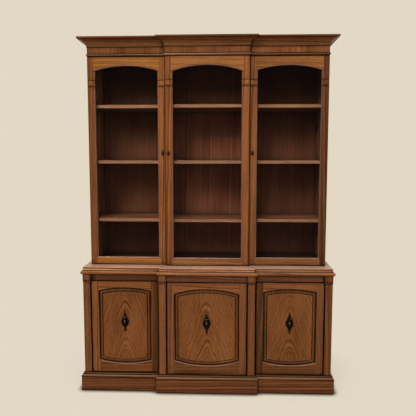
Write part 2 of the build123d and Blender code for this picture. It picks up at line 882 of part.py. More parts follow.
    with BuildPart() as sockets:
        for low, high in (
            (glass_door_bottom, glass_door_bottom + pivot_plate_t),
            (glass_door_top - pivot_plate_t, glass_door_top),
        ):
            pad(door, low, high)
            rod(axis_x, axis_y, pivot_r + pivot_fit, low, high, mode=Mode.SUBTRACT)
    keep(sockets.part, f"{name}_glass_door_sockets")


for door in glass_doors:
    glazed_door(door)

# Panelled doors, hung on barrels at their outer front corners
panel_doors = (
    ("left", pilaster_w + pilaster_gap - base_half_width, -base_break_x - pilaster_gap, 0, -1),
    ("centre", pilaster_w + pilaster_gap - base_break_x, base_break_x - pilaster_w - pilaster_gap, 1, 1),
    ("right", base_break_x + pilaster_gap, base_half_width - pilaster_w - pilaster_gap, 0, 1),
)
panel_axis_out = 1.0        # axis beyond the door's edge and in front of its face
barrel_r = 4.8
barrel_reach = 11.0         # barrels run this far over and under the door's ends
barrel_gap = 0.3
barrel_notch = 0.4
panel_pin_r = 2.0
panel_pin_shy = 0.5
leaf_reach = 16.0
leaf_set = 3.0
barrel_top = panel_door_bottom + barrel_reach
barrel_under = panel_door_top - barrel_reach


def panel_axis(door):
    """Plan position of a panelled door's hinge axis and the side it is on."""
    _, x_low, x_high, depth, hinge = door
    edge = x_high if hinge > 0 else x_low
    return edge + hinge * panel_axis_out, panel_door_face[depth] - panel_axis_out, hinge


def leaf(door, low, high, mode=Mode.ADD):
    """A flat plate from the barrel back along the door's end."""
    x, y, hinge = panel_axis(door)
    front = panel_door_face[door[3]] + leaf_set
    rear = front + door_t - leaf_set - leaf_set
    board(tuple(sorted((x, x - hinge * leaf_reach))), (front, rear), (low, high), mode=mode)
    board(tuple(sorted((x, x - hinge * barrel_r))), (y, rear), (low, high), mode=mode)


with BuildPart() as base_pivot_plates:
    for door in panel_doors:
        x, y, _ = panel_axis(door)
        plate_top = base_floor + pivot_plate_t
        plate_under = frieze_rail_bottom - pivot_plate_t
        for low, high in ((base_floor, plate_top), (plate_under, frieze_rail_bottom)):
            leaf(door, low, high)
            rod(x, y, barrel_r, low, high)
        rod(x, y, panel_pin_r, base_floor, barrel_top - panel_pin_shy)
        rod(x, y, panel_pin_r, barrel_under + panel_pin_shy, frieze_rail_bottom)
keep(base_pivot_plates.part, "base_pivot_plates")


def arched_block(middle, half, low, high, radius, y_front, y_rear):
    """A block between two depths with upright sides and an arc at both ends."""
    rise = arch_rise(radius, half)
    with BuildPart() as block:
        with BuildSketch(facing(y_rear)):
            with BuildLine():
                ThreePointArc((middle - half, low + rise), (middle, low), (middle + half, low + rise))
                Line((middle + half, low + rise), (middle + half, high - rise))
                ThreePointArc((middle + half, high - rise), (middle, high), (middle - half, high - rise))
                Line((middle - half, high - rise), (middle - half, low + rise))
            make_face()
        extrude(amount=y_rear - y_front)
    return block.part


def panel_door(door):
    """Make one panelled door: stiles, rails, raised panel, pivot leaves, and its pull's plate and drop."""
    name, x_low, x_high, depth, hinge = door
    face = panel_door_face[depth]
    middle = (x_low + x_high) / 2
    half = (x_high - x_low) / 2
    recess_half = half - frame_w
    rear = face + door_t
    axis_x, axis_y, _ = panel_axis(door)

    def outline_prism(inset, y_front, y_rear):
        """The recess outline moved inwards by one inset, as a block between two depths."""
        return arched_block(
            middle, recess_half - inset, recess_bottom_z + inset, recess_top_z - inset,
            arch_radius - inset, y_front, y_rear,
        )

    groove = outline_prism(-groove_depth, face + tongue_front, face + tongue_back)

    leaf_levels = (
        (panel_door_bottom, panel_door_bottom + pivot_plate_t),
        (panel_door_top - pivot_plate_t, panel_door_top),
    )
    barrel_levels = (
        (base_floor + pivot_plate_t + barrel_gap, barrel_top),
        (barrel_under, frieze_rail_bottom - pivot_plate_t - barrel_gap),
    )
    with BuildPart() as leaves:
        for levels, barrel in zip(leaf_levels, barrel_levels):
            leaf(door, *levels)
            rod(axis_x, axis_y, barrel_r, *barrel)
            rod(axis_x, axis_y, panel_pin_r + pivot_fit, *barrel, mode=Mode.SUBTRACT)
    keep(leaves.part, f"{name}_panel_door_leaves")

    def stile(side):
        edge = middle + side * half
        with BuildPart() as whole:
            board(across(edge, side, 0, frame_w), (face, rear), (panel_door_bottom, panel_door_top))
            add(groove, mode=Mode.SUBTRACT)
            if side == hinge:
                for levels in leaf_levels:
                    leaf(door, *levels, mode=Mode.SUBTRACT)
                for low, high in (
                    (panel_door_bottom, barrel_top + barrel_notch),
                    (barrel_under - barrel_notch, panel_door_top),
                ):
                    rod(axis_x, axis_y, barrel_r + barrel_notch, low, high, mode=Mode.SUBTRACT)
        return whole.part.solid()

    keep(Compound([stile(-1), stile(1)]), f"{name}_panel_door_stiles")

    def rail(flat_z, crown_z, rise):
        """One rail between its flat edge and its arched edge."""
        left, right = middle - recess_half, middle + recess_half
        with BuildPart() as whole:
            with BuildSketch(facing(rear)):
                with BuildLine():
                    Polyline((left, crown_z - rise), (left, flat_z), (right, flat_z), (right, crown_z - rise))
                    ThreePointArc((right, crown_z - rise), (middle, crown_z), (left, crown_z - rise))
                make_face()
            extrude(amount=door_t)
            add(groove, mode=Mode.SUBTRACT)
            arris = [
                e for e in whole.edges().filter_by(GeomType.CIRCLE)
                if abs(e.radius - arch_radius) < pick_tol and abs(e.center().Y - face) < pick_tol
            ]
            chamfer(arris, frame_bevel)
        return whole.part.solid()

    rise = arch_rise(arch_radius, recess_half)
    rails = [rail(panel_door_bottom, recess_bottom_z, -rise), rail(panel_door_top, recess_top_z, rise)]
    keep(Compound(rails), f"{name}_panel_door_rails")

    tongue = outline_prism(groove_play - groove_depth, face + tongue_front, face + tongue_back)
    ground = outline_prism(band_inset, face + quirk_face, face + tongue_front)
    band = raised_band(
        outline_prism(band_inset, face + band_face, face + quirk_face),
        outline_prism(band_inset + band_w, face + band_face, face + quirk_face),
    )
    field_inset = band_inset + band_w + quirk_w
    field = softened(outline_prism(field_inset, face + field_face, face + quirk_face), field_round)
    with BuildPart() as panel:
        add(tongue)
        add(ground)
        add(band)
        add(field)
    keep(panel.part, f"{name}_panel_door_panel")

    pull(name, middle, face + field_face)


def softened(block, radius):
    """A block with every arris of its front face rounded."""
    front = block.faces().sort_by(Axis.Y)[0]
    return fillet(front.edges(), radius)


def raised_band(outer, inner):
    """The band round the field: the outer block less the inner one, rounded in front."""
    return softened(outer - inner, band_round)


# Pull: pointed backplate with two ears and a pin, and the drop that hangs on the pin.
# Outline shares run down the plate or drop: (share of the length, share of the half width).
pull_tip_drop = 136.0       # recess top to the plate's tip
pull_length = 131.0
pull_half_width = 22.5
pull_outline_shares = (
    (0, 0.03), (0.14, 0.17), (0.27, 0.38), (0.44, 0.87), (0.54, 1), (0.63, 0.89), (0.79, 0.31),
    (0.85, 0.19), (0.9, 0.21), (0.95, 0.15), (1, 0.03),
)
pull_plate_t = 2.5
pull_plate_bevel = 0.7
pull_pin_drop = 44.0        # plate's tip to the pin
pull_pin_out = 9.5
pull_pin_r = 1.3
pull_ear_r = 4.4
pull_ear_t = 2.4
pull_eye_half = 2.1
pull_eye_side = 0.3         # ear to eye
pull_eye_r = 3.8
pull_eye_fit = 0.08
drop_length = 45.5          # pin to the drop's tip
drop_half_width = 8.1
drop_outline_shares = (
    (0.05, 0.23), (0.15, 0.23), (0.29, 0.4), (0.46, 0.81), (0.62, 1), (0.75, 0.86), (0.85, 0.42),
    (0.9, 0.2),
)
drop_tip_shares = (0.97, 0.22)
pull_ear_in = pull_eye_half + pull_eye_side
pull_ear_out = pull_ear_in + pull_ear_t


def pull(name, x, rear):
    """Make one pull, its plate seated on the door's field at depth rear."""
    face = rear - pull_plate_t
    tip_z = recess_top_z - pull_tip_drop
    pin_z = tip_z - pull_pin_drop
    pin_y = face - pull_pin_out
    across_pin = Plane(origin=(x, pin_y, pin_z), x_dir=(0, 1, 0), z_dir=(1, 0, 0))

    with BuildPart() as plate:
        with BuildSketch(facing(rear)):
            with BuildLine():
                edge = [(pull_half_width * w, tip_z - pull_length * d) for d, w in pull_outline_shares]
                right = [(x + w, z) for w, z in edge]
                left = [(x - w, z) for w, z in reversed(edge)]
                Spline(*right)
                Line(right[-1], left[0])
                Spline(*left)
                Line(left[-1], right[0])
            make_face()
        extrude(amount=pull_plate_t)
        chamfer(plate.faces().sort_by(Axis.Y)[0].edges(), pull_plate_bevel)
        for start in (pull_ear_in, -pull_ear_out):
            with BuildSketch(across_pin.offset(start)):
                Circle(pull_ear_r)
                with Locations((pull_pin_out / 2, 0)):
                    Rectangle(pull_pin_out, pull_ear_r + pull_ear_r)
            extrude(amount=pull_ear_t)
        with BuildSketch(across_pin.offset(-pull_ear_out)):
            Circle(pull_pin_r)
        extrude(amount=pull_ear_out + pull_ear_out)
    keep(plate.part, f"{name}_pull_plate")

    with BuildPart() as drop:
        with BuildSketch(across_pin.offset(-pull_eye_half)):
            Circle(pull_eye_r)
        extrude(amount=pull_eye_half + pull_eye_half)
        with BuildSketch(Plane(origin=(x, pin_y, pin_z), x_dir=(1, 0, 0), z_dir=(0, -1, 0))):
            with BuildLine():
                profile = [(drop_half_width * w, -drop_length * d) for d, w in drop_outline_shares]
                tip = (drop_half_width * drop_tip_shares[1], -drop_length * drop_tip_shares[0])
                Line((0, profile[0][1]), profile[0])
                Spline(*profile)
                Spline(profile[-1], tip, (0, -drop_length))
                Line((0, -drop_length), (0, profile[0][1]))
            make_face()
        revolve(axis=Axis((x, pin_y, pin_z), (0, 0, 1)))
        with BuildSketch(across_pin.offset(-pull_ear_out)):
            Circle(pull_pin_r + pull_eye_fit)
        extrude(amount=pull_ear_out + pull_ear_out, mode=Mode.SUBTRACT)
    keep(drop.part, f"{name}_pull_drop")


for door in panel_doors:
    panel_door(door)
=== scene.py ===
# %% [markdown]
# # A breakfront hutch in lacquered mahogany
# The real piece is a glazed bookcase standing on a three-door base. Its joinery, doors and metal fittings
# come finished from the CAD frame, so this lesson is about surfaces: how a board is cut from the tree, what
# the polisher put on it, and how light shows both. Each step says what the real thing is before it makes it.

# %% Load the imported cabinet
import math

import bpy
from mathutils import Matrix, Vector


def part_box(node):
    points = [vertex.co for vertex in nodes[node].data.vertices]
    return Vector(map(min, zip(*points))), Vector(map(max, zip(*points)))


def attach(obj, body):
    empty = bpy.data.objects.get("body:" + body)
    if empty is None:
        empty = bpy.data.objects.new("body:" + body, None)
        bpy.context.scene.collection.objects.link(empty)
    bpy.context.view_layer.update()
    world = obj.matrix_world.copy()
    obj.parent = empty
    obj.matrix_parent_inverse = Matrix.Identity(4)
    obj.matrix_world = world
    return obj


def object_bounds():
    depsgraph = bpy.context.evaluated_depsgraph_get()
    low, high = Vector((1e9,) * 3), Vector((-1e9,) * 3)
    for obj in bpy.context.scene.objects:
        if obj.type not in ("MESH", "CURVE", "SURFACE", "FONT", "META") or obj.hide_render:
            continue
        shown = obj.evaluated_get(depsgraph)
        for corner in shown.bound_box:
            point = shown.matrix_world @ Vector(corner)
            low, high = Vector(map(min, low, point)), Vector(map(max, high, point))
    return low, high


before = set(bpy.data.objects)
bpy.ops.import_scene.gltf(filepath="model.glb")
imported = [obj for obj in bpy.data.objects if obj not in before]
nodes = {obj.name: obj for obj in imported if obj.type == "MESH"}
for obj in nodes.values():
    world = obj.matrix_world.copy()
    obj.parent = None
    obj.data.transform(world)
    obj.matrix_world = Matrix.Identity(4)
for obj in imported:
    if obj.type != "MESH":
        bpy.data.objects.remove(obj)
cad_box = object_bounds()
MM = 0.001
low_corner, high_corner = cad_box
print("cabinet size in mm:", [round((b - a) / MM) for a, b in zip(low_corner, high_corner)])

# %% [markdown]
# ## One helper for shader nodes
# A procedural material is a small graph. The helper adds one node, sets it and wires its inputs, so each
# material below reads from top to bottom like the polisher's steps. Many sockets are given by number. A Map
# Range node takes its value as 0, the two limits that it maps from as 1 and 2, and those that it maps to as 3
# and 4. A Mix node takes its factor as 0, and two vectors as 4 and 5 or two colours as 6 and 7. Colours are
# written as the eye sees them, in sRGB hex, and one function turns them to the linear values that the
# renderer needs.

# %% Shader helpers


def linear(hex_colour):
    """Linear red, green, blue and alpha of an sRGB colour written as six hex digits."""
    parts = [int(hex_colour[i:i + 2], 16) / 255 for i in (0, 2, 4)]
    return tuple(c / 12.92 if c <= 0.04045 else ((c + 0.055) / 1.055) ** 2.4 for c in parts) + (1.0,)


def add(tree, kind, inputs=None, stops=(), **settings):
    """Add one node. inputs gives a value, or another node's output, for each socket by name or number.
    stops are a colour ramp's (position, linear colour) pairs."""
    node = tree.nodes.new(kind)
    for key, value in settings.items():
        setattr(node, key, value)
    for key, value in (inputs or {}).items():
        if isinstance(value, bpy.types.NodeSocket):
            tree.links.new(value, node.inputs[key])
        else:
            node.inputs[key].default_value = value
    for number, (position, colour) in enumerate(stops):
        elements = node.color_ramp.elements
        element = elements[number] if number < len(elements) else elements.new(position)
        element.position = position
        element.color = colour
    return node


def new_material(name):
    """An empty node material and its tree."""
    material = bpy.data.materials.new(name)
    material.use_nodes = True
    material.node_tree.nodes.clear()
    return material, material.node_tree


dressed = set()


def dress(material, *names):
    """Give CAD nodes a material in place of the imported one."""
    for name in names:
        nodes[name].data.materials.clear()
        nodes[name].data.materials.append(material)
        dressed.add(name)


# %% [markdown]
# ## The wood
# Mahogany is a red-brown hardwood with short dark pores and soft growth rings. What the eye reads as "grain"
# depends on the cut. A board sawn far from the heart of the tree shows near-straight lines. A board sawn
# across the outside cuts the cone of each ring at a slant and shows nested arches, the crown figure on the
# lower doors. An image of wood would stretch on the mouldings and repeat, so the tree itself is modelled:
# every point of a board has a distance from the heart line, that distance counts the rings, and each ring has
# its own tone. The arches and the straight lines then come from one rule, with the heart near or far.

# %% Grain coordinates


def grain_axes(tree, grain):
    """Object coordinates in millimetres as (across, depth, along the grain)."""
    place = add(tree, "ShaderNodeTexCoord").outputs
    in_mm = add(tree, "ShaderNodeVectorMath", {0: place["Object"], "Scale": 1 / MM}, operation="SCALE")
    split = add(tree, "ShaderNodeSeparateXYZ", {0: in_mm.outputs[0]}).outputs
    if grain in "xz":
        a, b, c = {"z": (0, 1, 2), "x": (2, 1, 0)}[grain]
        return add(tree, "ShaderNodeCombineXYZ", {0: split[a], 1: split[b], 2: split[c]}).outputs[0]
    # a moulding runs along x at the front and along y on its returns, which its faces' directions tell
    facing = add(tree, "ShaderNodeSeparateXYZ", {0: place["Normal"]}).outputs
    side_x = add(tree, "ShaderNodeMath", {0: facing[0]}, operation="ABSOLUTE").outputs[0]
    side_y = add(tree, "ShaderNodeMath", {0: facing[1]}, operation="ABSOLUTE").outputs[0]
    is_return = add(tree, "ShaderNodeMath", {0: side_x, 1: side_y}, operation="GREATER_THAN").outputs[0]
    front = add(tree, "ShaderNodeCombineXYZ", {0: split[2], 1: split[1], 2: split[0]}).outputs[0]
    side = add(tree, "ShaderNodeCombineXYZ", {0: split[2], 1: split[0], 2: split[1]}).outputs[0]
    return add(tree, "ShaderNodeMix", {0: is_return, 4: front, 5: side}, data_type="VECTOR").outputs[1]


def streaks(tree, axes, width_mm, length_mm, detail=2.0, shift=0.0):
    """Noise drawn out along the grain, in streaks of the given width and length."""
    shape = (1 / width_mm, 1 / width_mm, 1 / length_mm)
    drawn = add(tree, "ShaderNodeMapping", {0: axes, "Location": (shift, shift, shift), "Scale": shape})
    noise = add(tree, "ShaderNodeTexNoise", {"Vector": drawn.outputs[0], "Scale": 1.0, "Detail": detail})
    return noise.outputs[0]


# %% Growth rings
STRAY_WIDTH, STRAY_LENGTH = 60.0, 240.0
RIPPLE_WIDTH, RIPPLE_LENGTH, RIPPLE_SHARE = 14.0, 34.0, 0.28
RING_DETAIL, RING_ROUGHNESS = 2.0, 0.6
NOISE_MEAN = 0.5


def ring_tones(tree, axes, heart, spacing, taper, wander, shift):
    """The tone of each growth ring. heart is a point of the heart line in grain axes, taper is how fast the
    trunk narrows along the grain, and wander is how far the lines stray, all in millimetres."""
    from_heart = add(tree, "ShaderNodeVectorMath", {0: axes, 1: heart}, operation="SUBTRACT").outputs[0]
    split = add(tree, "ShaderNodeSeparateXYZ", {0: from_heart}).outputs
    stray = streaks(tree, axes, STRAY_WIDTH, STRAY_LENGTH, detail=2.0, shift=shift)
    ripple = streaks(tree, axes, RIPPLE_WIDTH, RIPPLE_LENGTH, detail=1.0, shift=shift)
    both = {0: ripple, 1: RIPPLE_SHARE, 2: stray}
    wavy = add(tree, "ShaderNodeMath", both, operation="MULTIPLY_ADD").outputs[0]
    mean = NOISE_MEAN * (1 + RIPPLE_SHARE)
    centred = add(tree, "ShaderNodeMath", {0: wavy, 1: mean}, operation="SUBTRACT").outputs[0]
    moved_across = {0: centred, 1: wander, 2: split[0]}
    across = add(tree, "ShaderNodeMath", moved_across, operation="MULTIPLY_ADD").outputs[0]
    flat = add(tree, "ShaderNodeCombineXYZ", {0: across, 1: split[1]}).outputs[0]
    radius = add(tree, "ShaderNodeVectorMath", {0: flat}, operation="LENGTH").outputs["Value"]
    cone = {0: split[2], 1: taper, 2: radius}
    grown = add(tree, "ShaderNodeMath", cone, operation="MULTIPLY_ADD").outputs[0]
    count = add(tree, "ShaderNodeMath", {0: grown, 1: spacing}, operation="DIVIDE").outputs[0]
    moved = add(tree, "ShaderNodeMath", {0: count, 1: shift}, operation="ADD").outputs[0]
    each_ring = {"W": moved, "Scale": 1.0, "Detail": RING_DETAIL, "Roughness": RING_ROUGHNESS}
    return add(tree, "ShaderNodeTexNoise", each_ring, noise_dimensions="1D").outputs[0]


# %% [markdown]
# ## Lacquer and painted light
# The boards carry a satin lacquer over stain. The finish itself is amber, so it tints what it mirrors, and
# the wood's pores dent it a little. Real mahogany pores are about 0.2 mm wide, too fine for a picture of a
# whole cabinet, so they are drawn at 0.9 mm. Each board needs one colour, and its dark latewood and light
# earlywood are shades of it.
#
# Light and shade are painted into the colour too. Corners and sheltered places get painted shade. The joints
# between boards get dark lines, partly grime and partly painted shade where parts step or leave a gap. The
# moulded edges of the doors get painted shade, and on the glazed doors a pale pinkish painted highlight.
# Faces that look up get a pale painted sheen. Joints, edges and upward faces each have a small function here
# that changes a colour, and the corners are found by the board's own material below.

# %% Signs of age and painted light
# Distances from a joint, in millimetres, over which its dark line and a wider, milder darkening beside it
# fade out, both partly grime and partly painted shade. The line beside an upright joint is thinner by the
# margin, because there the model's own gap is dark already.
JOINT_LINE_WIDTH, JOINT_LINE_SHADE, GAP_MARGIN = 4.6, 0.08, 2.2
JOINT_BAND_WIDTH, JOINT_BAND_SHADE = 16.0, 0.80
# A start for the search of the nearest joint, in metres, larger than any distance on a board
NO_JOINT_NEAR = 1.0
# Depths behind a door's face, where its edges take painted shade and highlight, and heights proud of it,
# where parts are rubbed paler, in millimetres, where they start to change tone and where they have changed in
# full
EDGE_STARTS, EDGE_FULL = 0.4, 2.4
PROUD_STARTS, PROUD_FULL, PROUD_SHADE = 0.3, 1.2, 1.3
# The upward part of a face's direction where the painted sheen starts and where it is full
UPWARD_STARTS, UPWARD_FULL = 0.45, 0.9
# a pale pinkish painted highlight for the moulded edges of the glazed doors
EDGE_HIGHLIGHT = "806156"
# a pale painted sheen for faces that look up
TOP_SHEEN = "c9a08c"


def scaled(tree, colour, factor):
    """A colour made lighter or darker by a factor."""
    return add(tree, "ShaderNodeVectorMath", {0: colour, "Scale": factor}, operation="SCALE").outputs[0]


def joint_grime_and_shade(tree, joints):
    """How dark the surface is along the joints, as a factor that is low there, partly for grime and partly
    for painted shade where parts step or leave a gap. They are given in millimetres, as heights along z,
    places along x, and lines in plan, the same on the left and the right, each (a, b, c) for a x + b y = c."""
    place = add(tree, "ShaderNodeTexCoord").outputs["Object"]
    split = add(tree, "ShaderNodeSeparateXYZ", {0: place}).outputs
    nearest = NO_JOINT_NEAR
    for a, b, c in joints.get("plan", ()):
        outward = add(tree, "ShaderNodeMath", {0: split[0]}, operation="ABSOLUTE").outputs[0]
        across = {0: outward, 1: a, 2: -c * MM}
        part = add(tree, "ShaderNodeMath", across, operation="MULTIPLY_ADD").outputs[0]
        both = {0: split[1], 1: b, 2: part}
        offset = add(tree, "ShaderNodeMath", both, operation="MULTIPLY_ADD").outputs[0]
        gap = add(tree, "ShaderNodeMath", {0: offset}, operation="ABSOLUTE").outputs[0]
        nearest = add(tree, "ShaderNodeMath", {0: gap, 1: nearest}, operation="MINIMUM").outputs[0]
    for axis, spots, margin in ((0, joints.get("x", ()), GAP_MARGIN), (2, joints.get("z", ()), 0.0)):
        for spot in spots:
            place_and_spot = {0: split[axis], 1: spot * MM}
            offset = add(tree, "ShaderNodeMath", place_and_spot, operation="SUBTRACT").outputs[0]
            gap = add(tree, "ShaderNodeMath", {0: offset}, operation="ABSOLUTE").outputs[0]
            gap = add(tree, "ShaderNodeMath", {0: gap, 1: margin * MM}, operation="ADD").outputs[0]
            nearest = add(tree, "ShaderNodeMath", {0: gap, 1: nearest}, operation="MINIMUM").outputs[0]
    line, band = (
        add(tree, "ShaderNodeMapRange", {0: nearest, 1: 0.0, 2: width * MM, 3: shade, 4: 1.0}).outputs[0]
        for width, shade in ((JOINT_LINE_WIDTH, JOINT_LINE_SHADE), (JOINT_BAND_WIDTH, JOINT_BAND_SHADE))
    )
    return add(tree, "ShaderNodeMath", {0: line, 1: band}, operation="MULTIPLY").outputs[0]


def moulded_edge(tree, colour, faces):
    """Paint shade and a pale pinkish highlight on a door between its front and back faces, where its moulded
    edges are. faces is (y of the front, y of the back, painted shade, share of the painted highlight). Parts
    proud of the front face are rubbed paler."""
    place = add(tree, "ShaderNodeTexCoord").outputs["Object"]
    y = add(tree, "ShaderNodeSeparateXYZ", {0: place}).outputs[1]
    front, back, edge_shade, edge_highlight = faces
    offset = add(tree, "ShaderNodeMath", {0: y, 1: (front + back) / 2 * MM}, operation="SUBTRACT").outputs[0]
    gap = add(tree, "ShaderNodeMath", {0: offset}, operation="ABSOLUTE").outputs[0]
    half = (back - front) / 2
    inner, outer = (half - EDGE_FULL) * MM, (half - EDGE_STARTS) * MM
    # painted shade in the sunk edges
    hollow = add(tree, "ShaderNodeMapRange", {0: gap, 1: inner, 2: outer, 3: edge_shade, 4: 1.0}).outputs[0]
    full, first = -(half + PROUD_FULL) * MM, -(half + PROUD_STARTS) * MM
    proud = add(tree, "ShaderNodeMapRange", {0: offset, 1: full, 2: first, 3: PROUD_SHADE, 4: 1.0}).outputs[0]
    shaded = scaled(tree, scaled(tree, colour, hollow), proud)
    # a pale pinkish painted highlight in the same edges
    highlight_level = add(tree, "ShaderNodeMapRange", {0: gap, 1: inner, 2: outer, 3: edge_highlight, 4: 0.0}).outputs[0]
    mixed = add(tree, "ShaderNodeMix", {0: highlight_level, 6: shaded, 7: linear(EDGE_HIGHLIGHT)}, data_type="RGBA")
    return mixed.outputs[2]


def painted_top_sheen(tree, colour, amount):
    """Paint a pale sheen on the faces that look up."""
    direction = add(tree, "ShaderNodeTexCoord").outputs["Normal"]
    upward = add(tree, "ShaderNodeSeparateXYZ", {0: direction}).outputs[2]
    limits = {0: upward, 1: UPWARD_STARTS, 2: UPWARD_FULL, 3: 0.0, 4: amount}
    level = add(tree, "ShaderNodeMapRange", limits).outputs[0]
    mixed = add(tree, "ShaderNodeMix", {0: level, 6: colour, 7: linear(TOP_SHEEN)}, data_type="RGBA")
    return mixed.outputs[2]


# %% [markdown]
# ## One lacquered board
# All the wood of the cabinet comes from one function, given the board's colour, the way its grain runs and
# its place in the tree. It mixes three patterns of real size: the growth rings, fibres of about 2 mm, and
# blotches a hand wide where the stain took unevenly. Then come the signs of age with the painted light and
# shade, the pores and the lacquer.

# %% Lacquered wood
FIBRE_WIDTH, FIBRE_LENGTH, FIBRE_SHARE = 2.2, 90.0, 0.28
BLOTCH_WIDTH, BLOTCH_LENGTH = 110.0, 330.0
# Red, green and blue of the late and the early wood as shares of the board's, and where the pattern has them
LATEWOOD, EARLYWOOD = (0.58, 0.52, 0.46), (1.46, 1.50, 1.44)
LATEWOOD_TONE, BOARD_TONE, EARLYWOOD_TONE = 0.38, 0.5, 0.62
FAR_HEART = (420.0, 160.0, 0.0)
# Pores show where their noise is low
PORE_WIDTH, PORE_LENGTH = 0.9, 14.0
PORE_FULL, PORE_STARTS, PORE_SHADE = 0.34, 0.44, 0.55
# How far the painted shade of corners and of sheltered places reaches, in metres, and how open a place is
# where it is full and where it ends
CORNER_SHADE_REACH, CORNER_FULL, CORNER_ENDS = 0.012, 0.45, 0.95
SHELTER_SHADE_REACH, SHELTER_FULL, SHELTER_ENDS = 0.060, 0.35, 0.95
# The lacquer's relief, in metres, and how much rougher or smoother its blotches are
RELIEF, RELIEF_STRENGTH = 0.0004, 0.1
BLOTCH_LOW, BLOTCH_HIGH, SMOOTHER, ROUGHER = 0.3, 0.7, 0.05, 0.07
LACQUER_IOR = 1.45
AMBER = "d39a5c"


def lacquered_wood(
    name, grain, board, shift=0.0, heart=FAR_HEART, spacing=9.0, taper=0.02, wander=14.0, figure=0.56,
    fades=(), joints=None, faces=None, top_sheen=0.35, corner_shade=0.72, shelter_shade=0.35, gloss=0.3, finish=None,
):
    """A lacquered board of one colour. shift picks another piece of the tree, and figure is the rings' share
    of the pattern. Each fade is (axis, low, high, low shade, high shade) in millimetres, for boards of uneven
    tone and for painted shade. joints place dark lines, partly grime and partly painted shade, and faces
    places the painted shade and highlight of moulded edges. The next three arguments are how pale the painted
    sheen makes faces that look up and how dark the painted shade of corners and of sheltered places gets, and
    gloss is the roughness. finish(tree, axes, colour) may colour it further."""
    material, tree = new_material(name)
    axes = grain_axes(tree, grain)
    rings = ring_tones(tree, axes, heart, spacing, taper, wander, shift)
    fibres = streaks(tree, axes, FIBRE_WIDTH, FIBRE_LENGTH, detail=2.0, shift=shift)
    blotches = streaks(tree, axes, BLOTCH_WIDTH, BLOTCH_LENGTH, detail=1.0, shift=shift)
    ring_part = add(tree, "ShaderNodeMath", {0: rings, 1: figure}, operation="MULTIPLY").outputs[0]
    shares = {0: fibres, 1: FIBRE_SHARE, 2: ring_part}
    with_fibres = add(tree, "ShaderNodeMath", shares, operation="MULTIPLY_ADD").outputs[0]
    shares = {0: blotches, 1: 1 - FIBRE_SHARE - figure, 2: with_fibres}
    tone = add(tree, "ShaderNodeMath", shares, operation="MULTIPLY_ADD").outputs[0]
    middle = linear(board)
    dark, light = (tuple(c * f for c, f in zip(middle, part)) + (1.0,) for part in (LATEWOOD, EARLYWOOD))
    stops = ((LATEWOOD_TONE, dark), (BOARD_TONE, middle), (EARLYWOOD_TONE, light))
    colour = add(tree, "ShaderNodeValToRGB", {0: tone}, stops).outputs["Color"]
    for axis, low, high, low_shade, high_shade in fades:
        place = add(tree, "ShaderNodeTexCoord").outputs["Object"]
        along = add(tree, "ShaderNodeSeparateXYZ", {0: place}).outputs[axis]
        limits = {0: along, 1: low * MM, 2: high * MM, 3: low_shade, 4: high_shade}
        colour = scaled(tree, colour, add(tree, "ShaderNodeMapRange", limits).outputs[0])
    if finish:
        colour = finish(tree, axes, colour)
    # painted shade and a painted highlight in the moulded edges
    if faces:
        colour = moulded_edge(tree, colour, faces)
    # a painted sheen on faces that look up
    colour = painted_top_sheen(tree, colour, top_sheen)
    # dark joint lines, partly grime and partly painted shade
    if joints:
        colour = scaled(tree, colour, joint_grime_and_shade(tree, joints))
    pore_noise = streaks(tree, axes, PORE_WIDTH, PORE_LENGTH, detail=1.0, shift=shift)
    limits = {0: pore_noise, 1: PORE_FULL, 2: PORE_STARTS, 3: PORE_SHADE, 4: 1.0}
    colour = scaled(tree, colour, add(tree, "ShaderNodeMapRange", limits).outputs[0])
    # painted shade in corners and sheltered places, by how open each place is
    for reach, full, ends, darkest in (
        (CORNER_SHADE_REACH, CORNER_FULL, CORNER_ENDS, 1 - corner_shade),
        (SHELTER_SHADE_REACH, SHELTER_FULL, SHELTER_ENDS, 1 - shelter_shade),
    ):
        openness = add(tree, "ShaderNodeAmbientOcclusion", {"Distance": reach}, samples=8).outputs["AO"]
        limits = {0: openness, 1: full, 2: ends, 3: darkest, 4: 1.0}
        colour = scaled(tree, colour, add(tree, "ShaderNodeMapRange", limits).outputs[0])
    heights = add(tree, "ShaderNodeMath", {0: pore_noise, 1: fibres}, operation="ADD").outputs[0]
    relief = {"Strength": RELIEF_STRENGTH, "Distance": RELIEF, "Height": heights}
    bump = add(tree, "ShaderNodeBump", relief).outputs[0]
    limits = {0: blotches, 1: BLOTCH_LOW, 2: BLOTCH_HIGH, 3: gloss - SMOOTHER, 4: gloss + ROUGHER}
    rough = add(tree, "ShaderNodeMapRange", limits).outputs[0]
    surface = add(tree, "ShaderNodeBsdfPrincipled", {
        "Base Color": colour, "Roughness": rough, "Normal": bump, "IOR": LACQUER_IOR,
        "Specular Tint": linear(AMBER),
    })
    add(tree, "ShaderNodeOutputMaterial", {0: surface.outputs[0]})
    return material


# %% [markdown]
# ## Straight-grained doors
# Stiles are cut with the grain standing and rails with it lying. Each board gets its own colour, as the maker
# picked and stained them. Of the doors' boards the glazed doors' rails are the palest. In each door the outer
# and inner stiles differ in tone too, and painted shade adds to that: the lower stiles beside the forward
# centre bay are much the darkest, and the lower rails darken towards their foot. A fade across the door gives
# each stile its tone, for most of its change falls in the opening between the two.

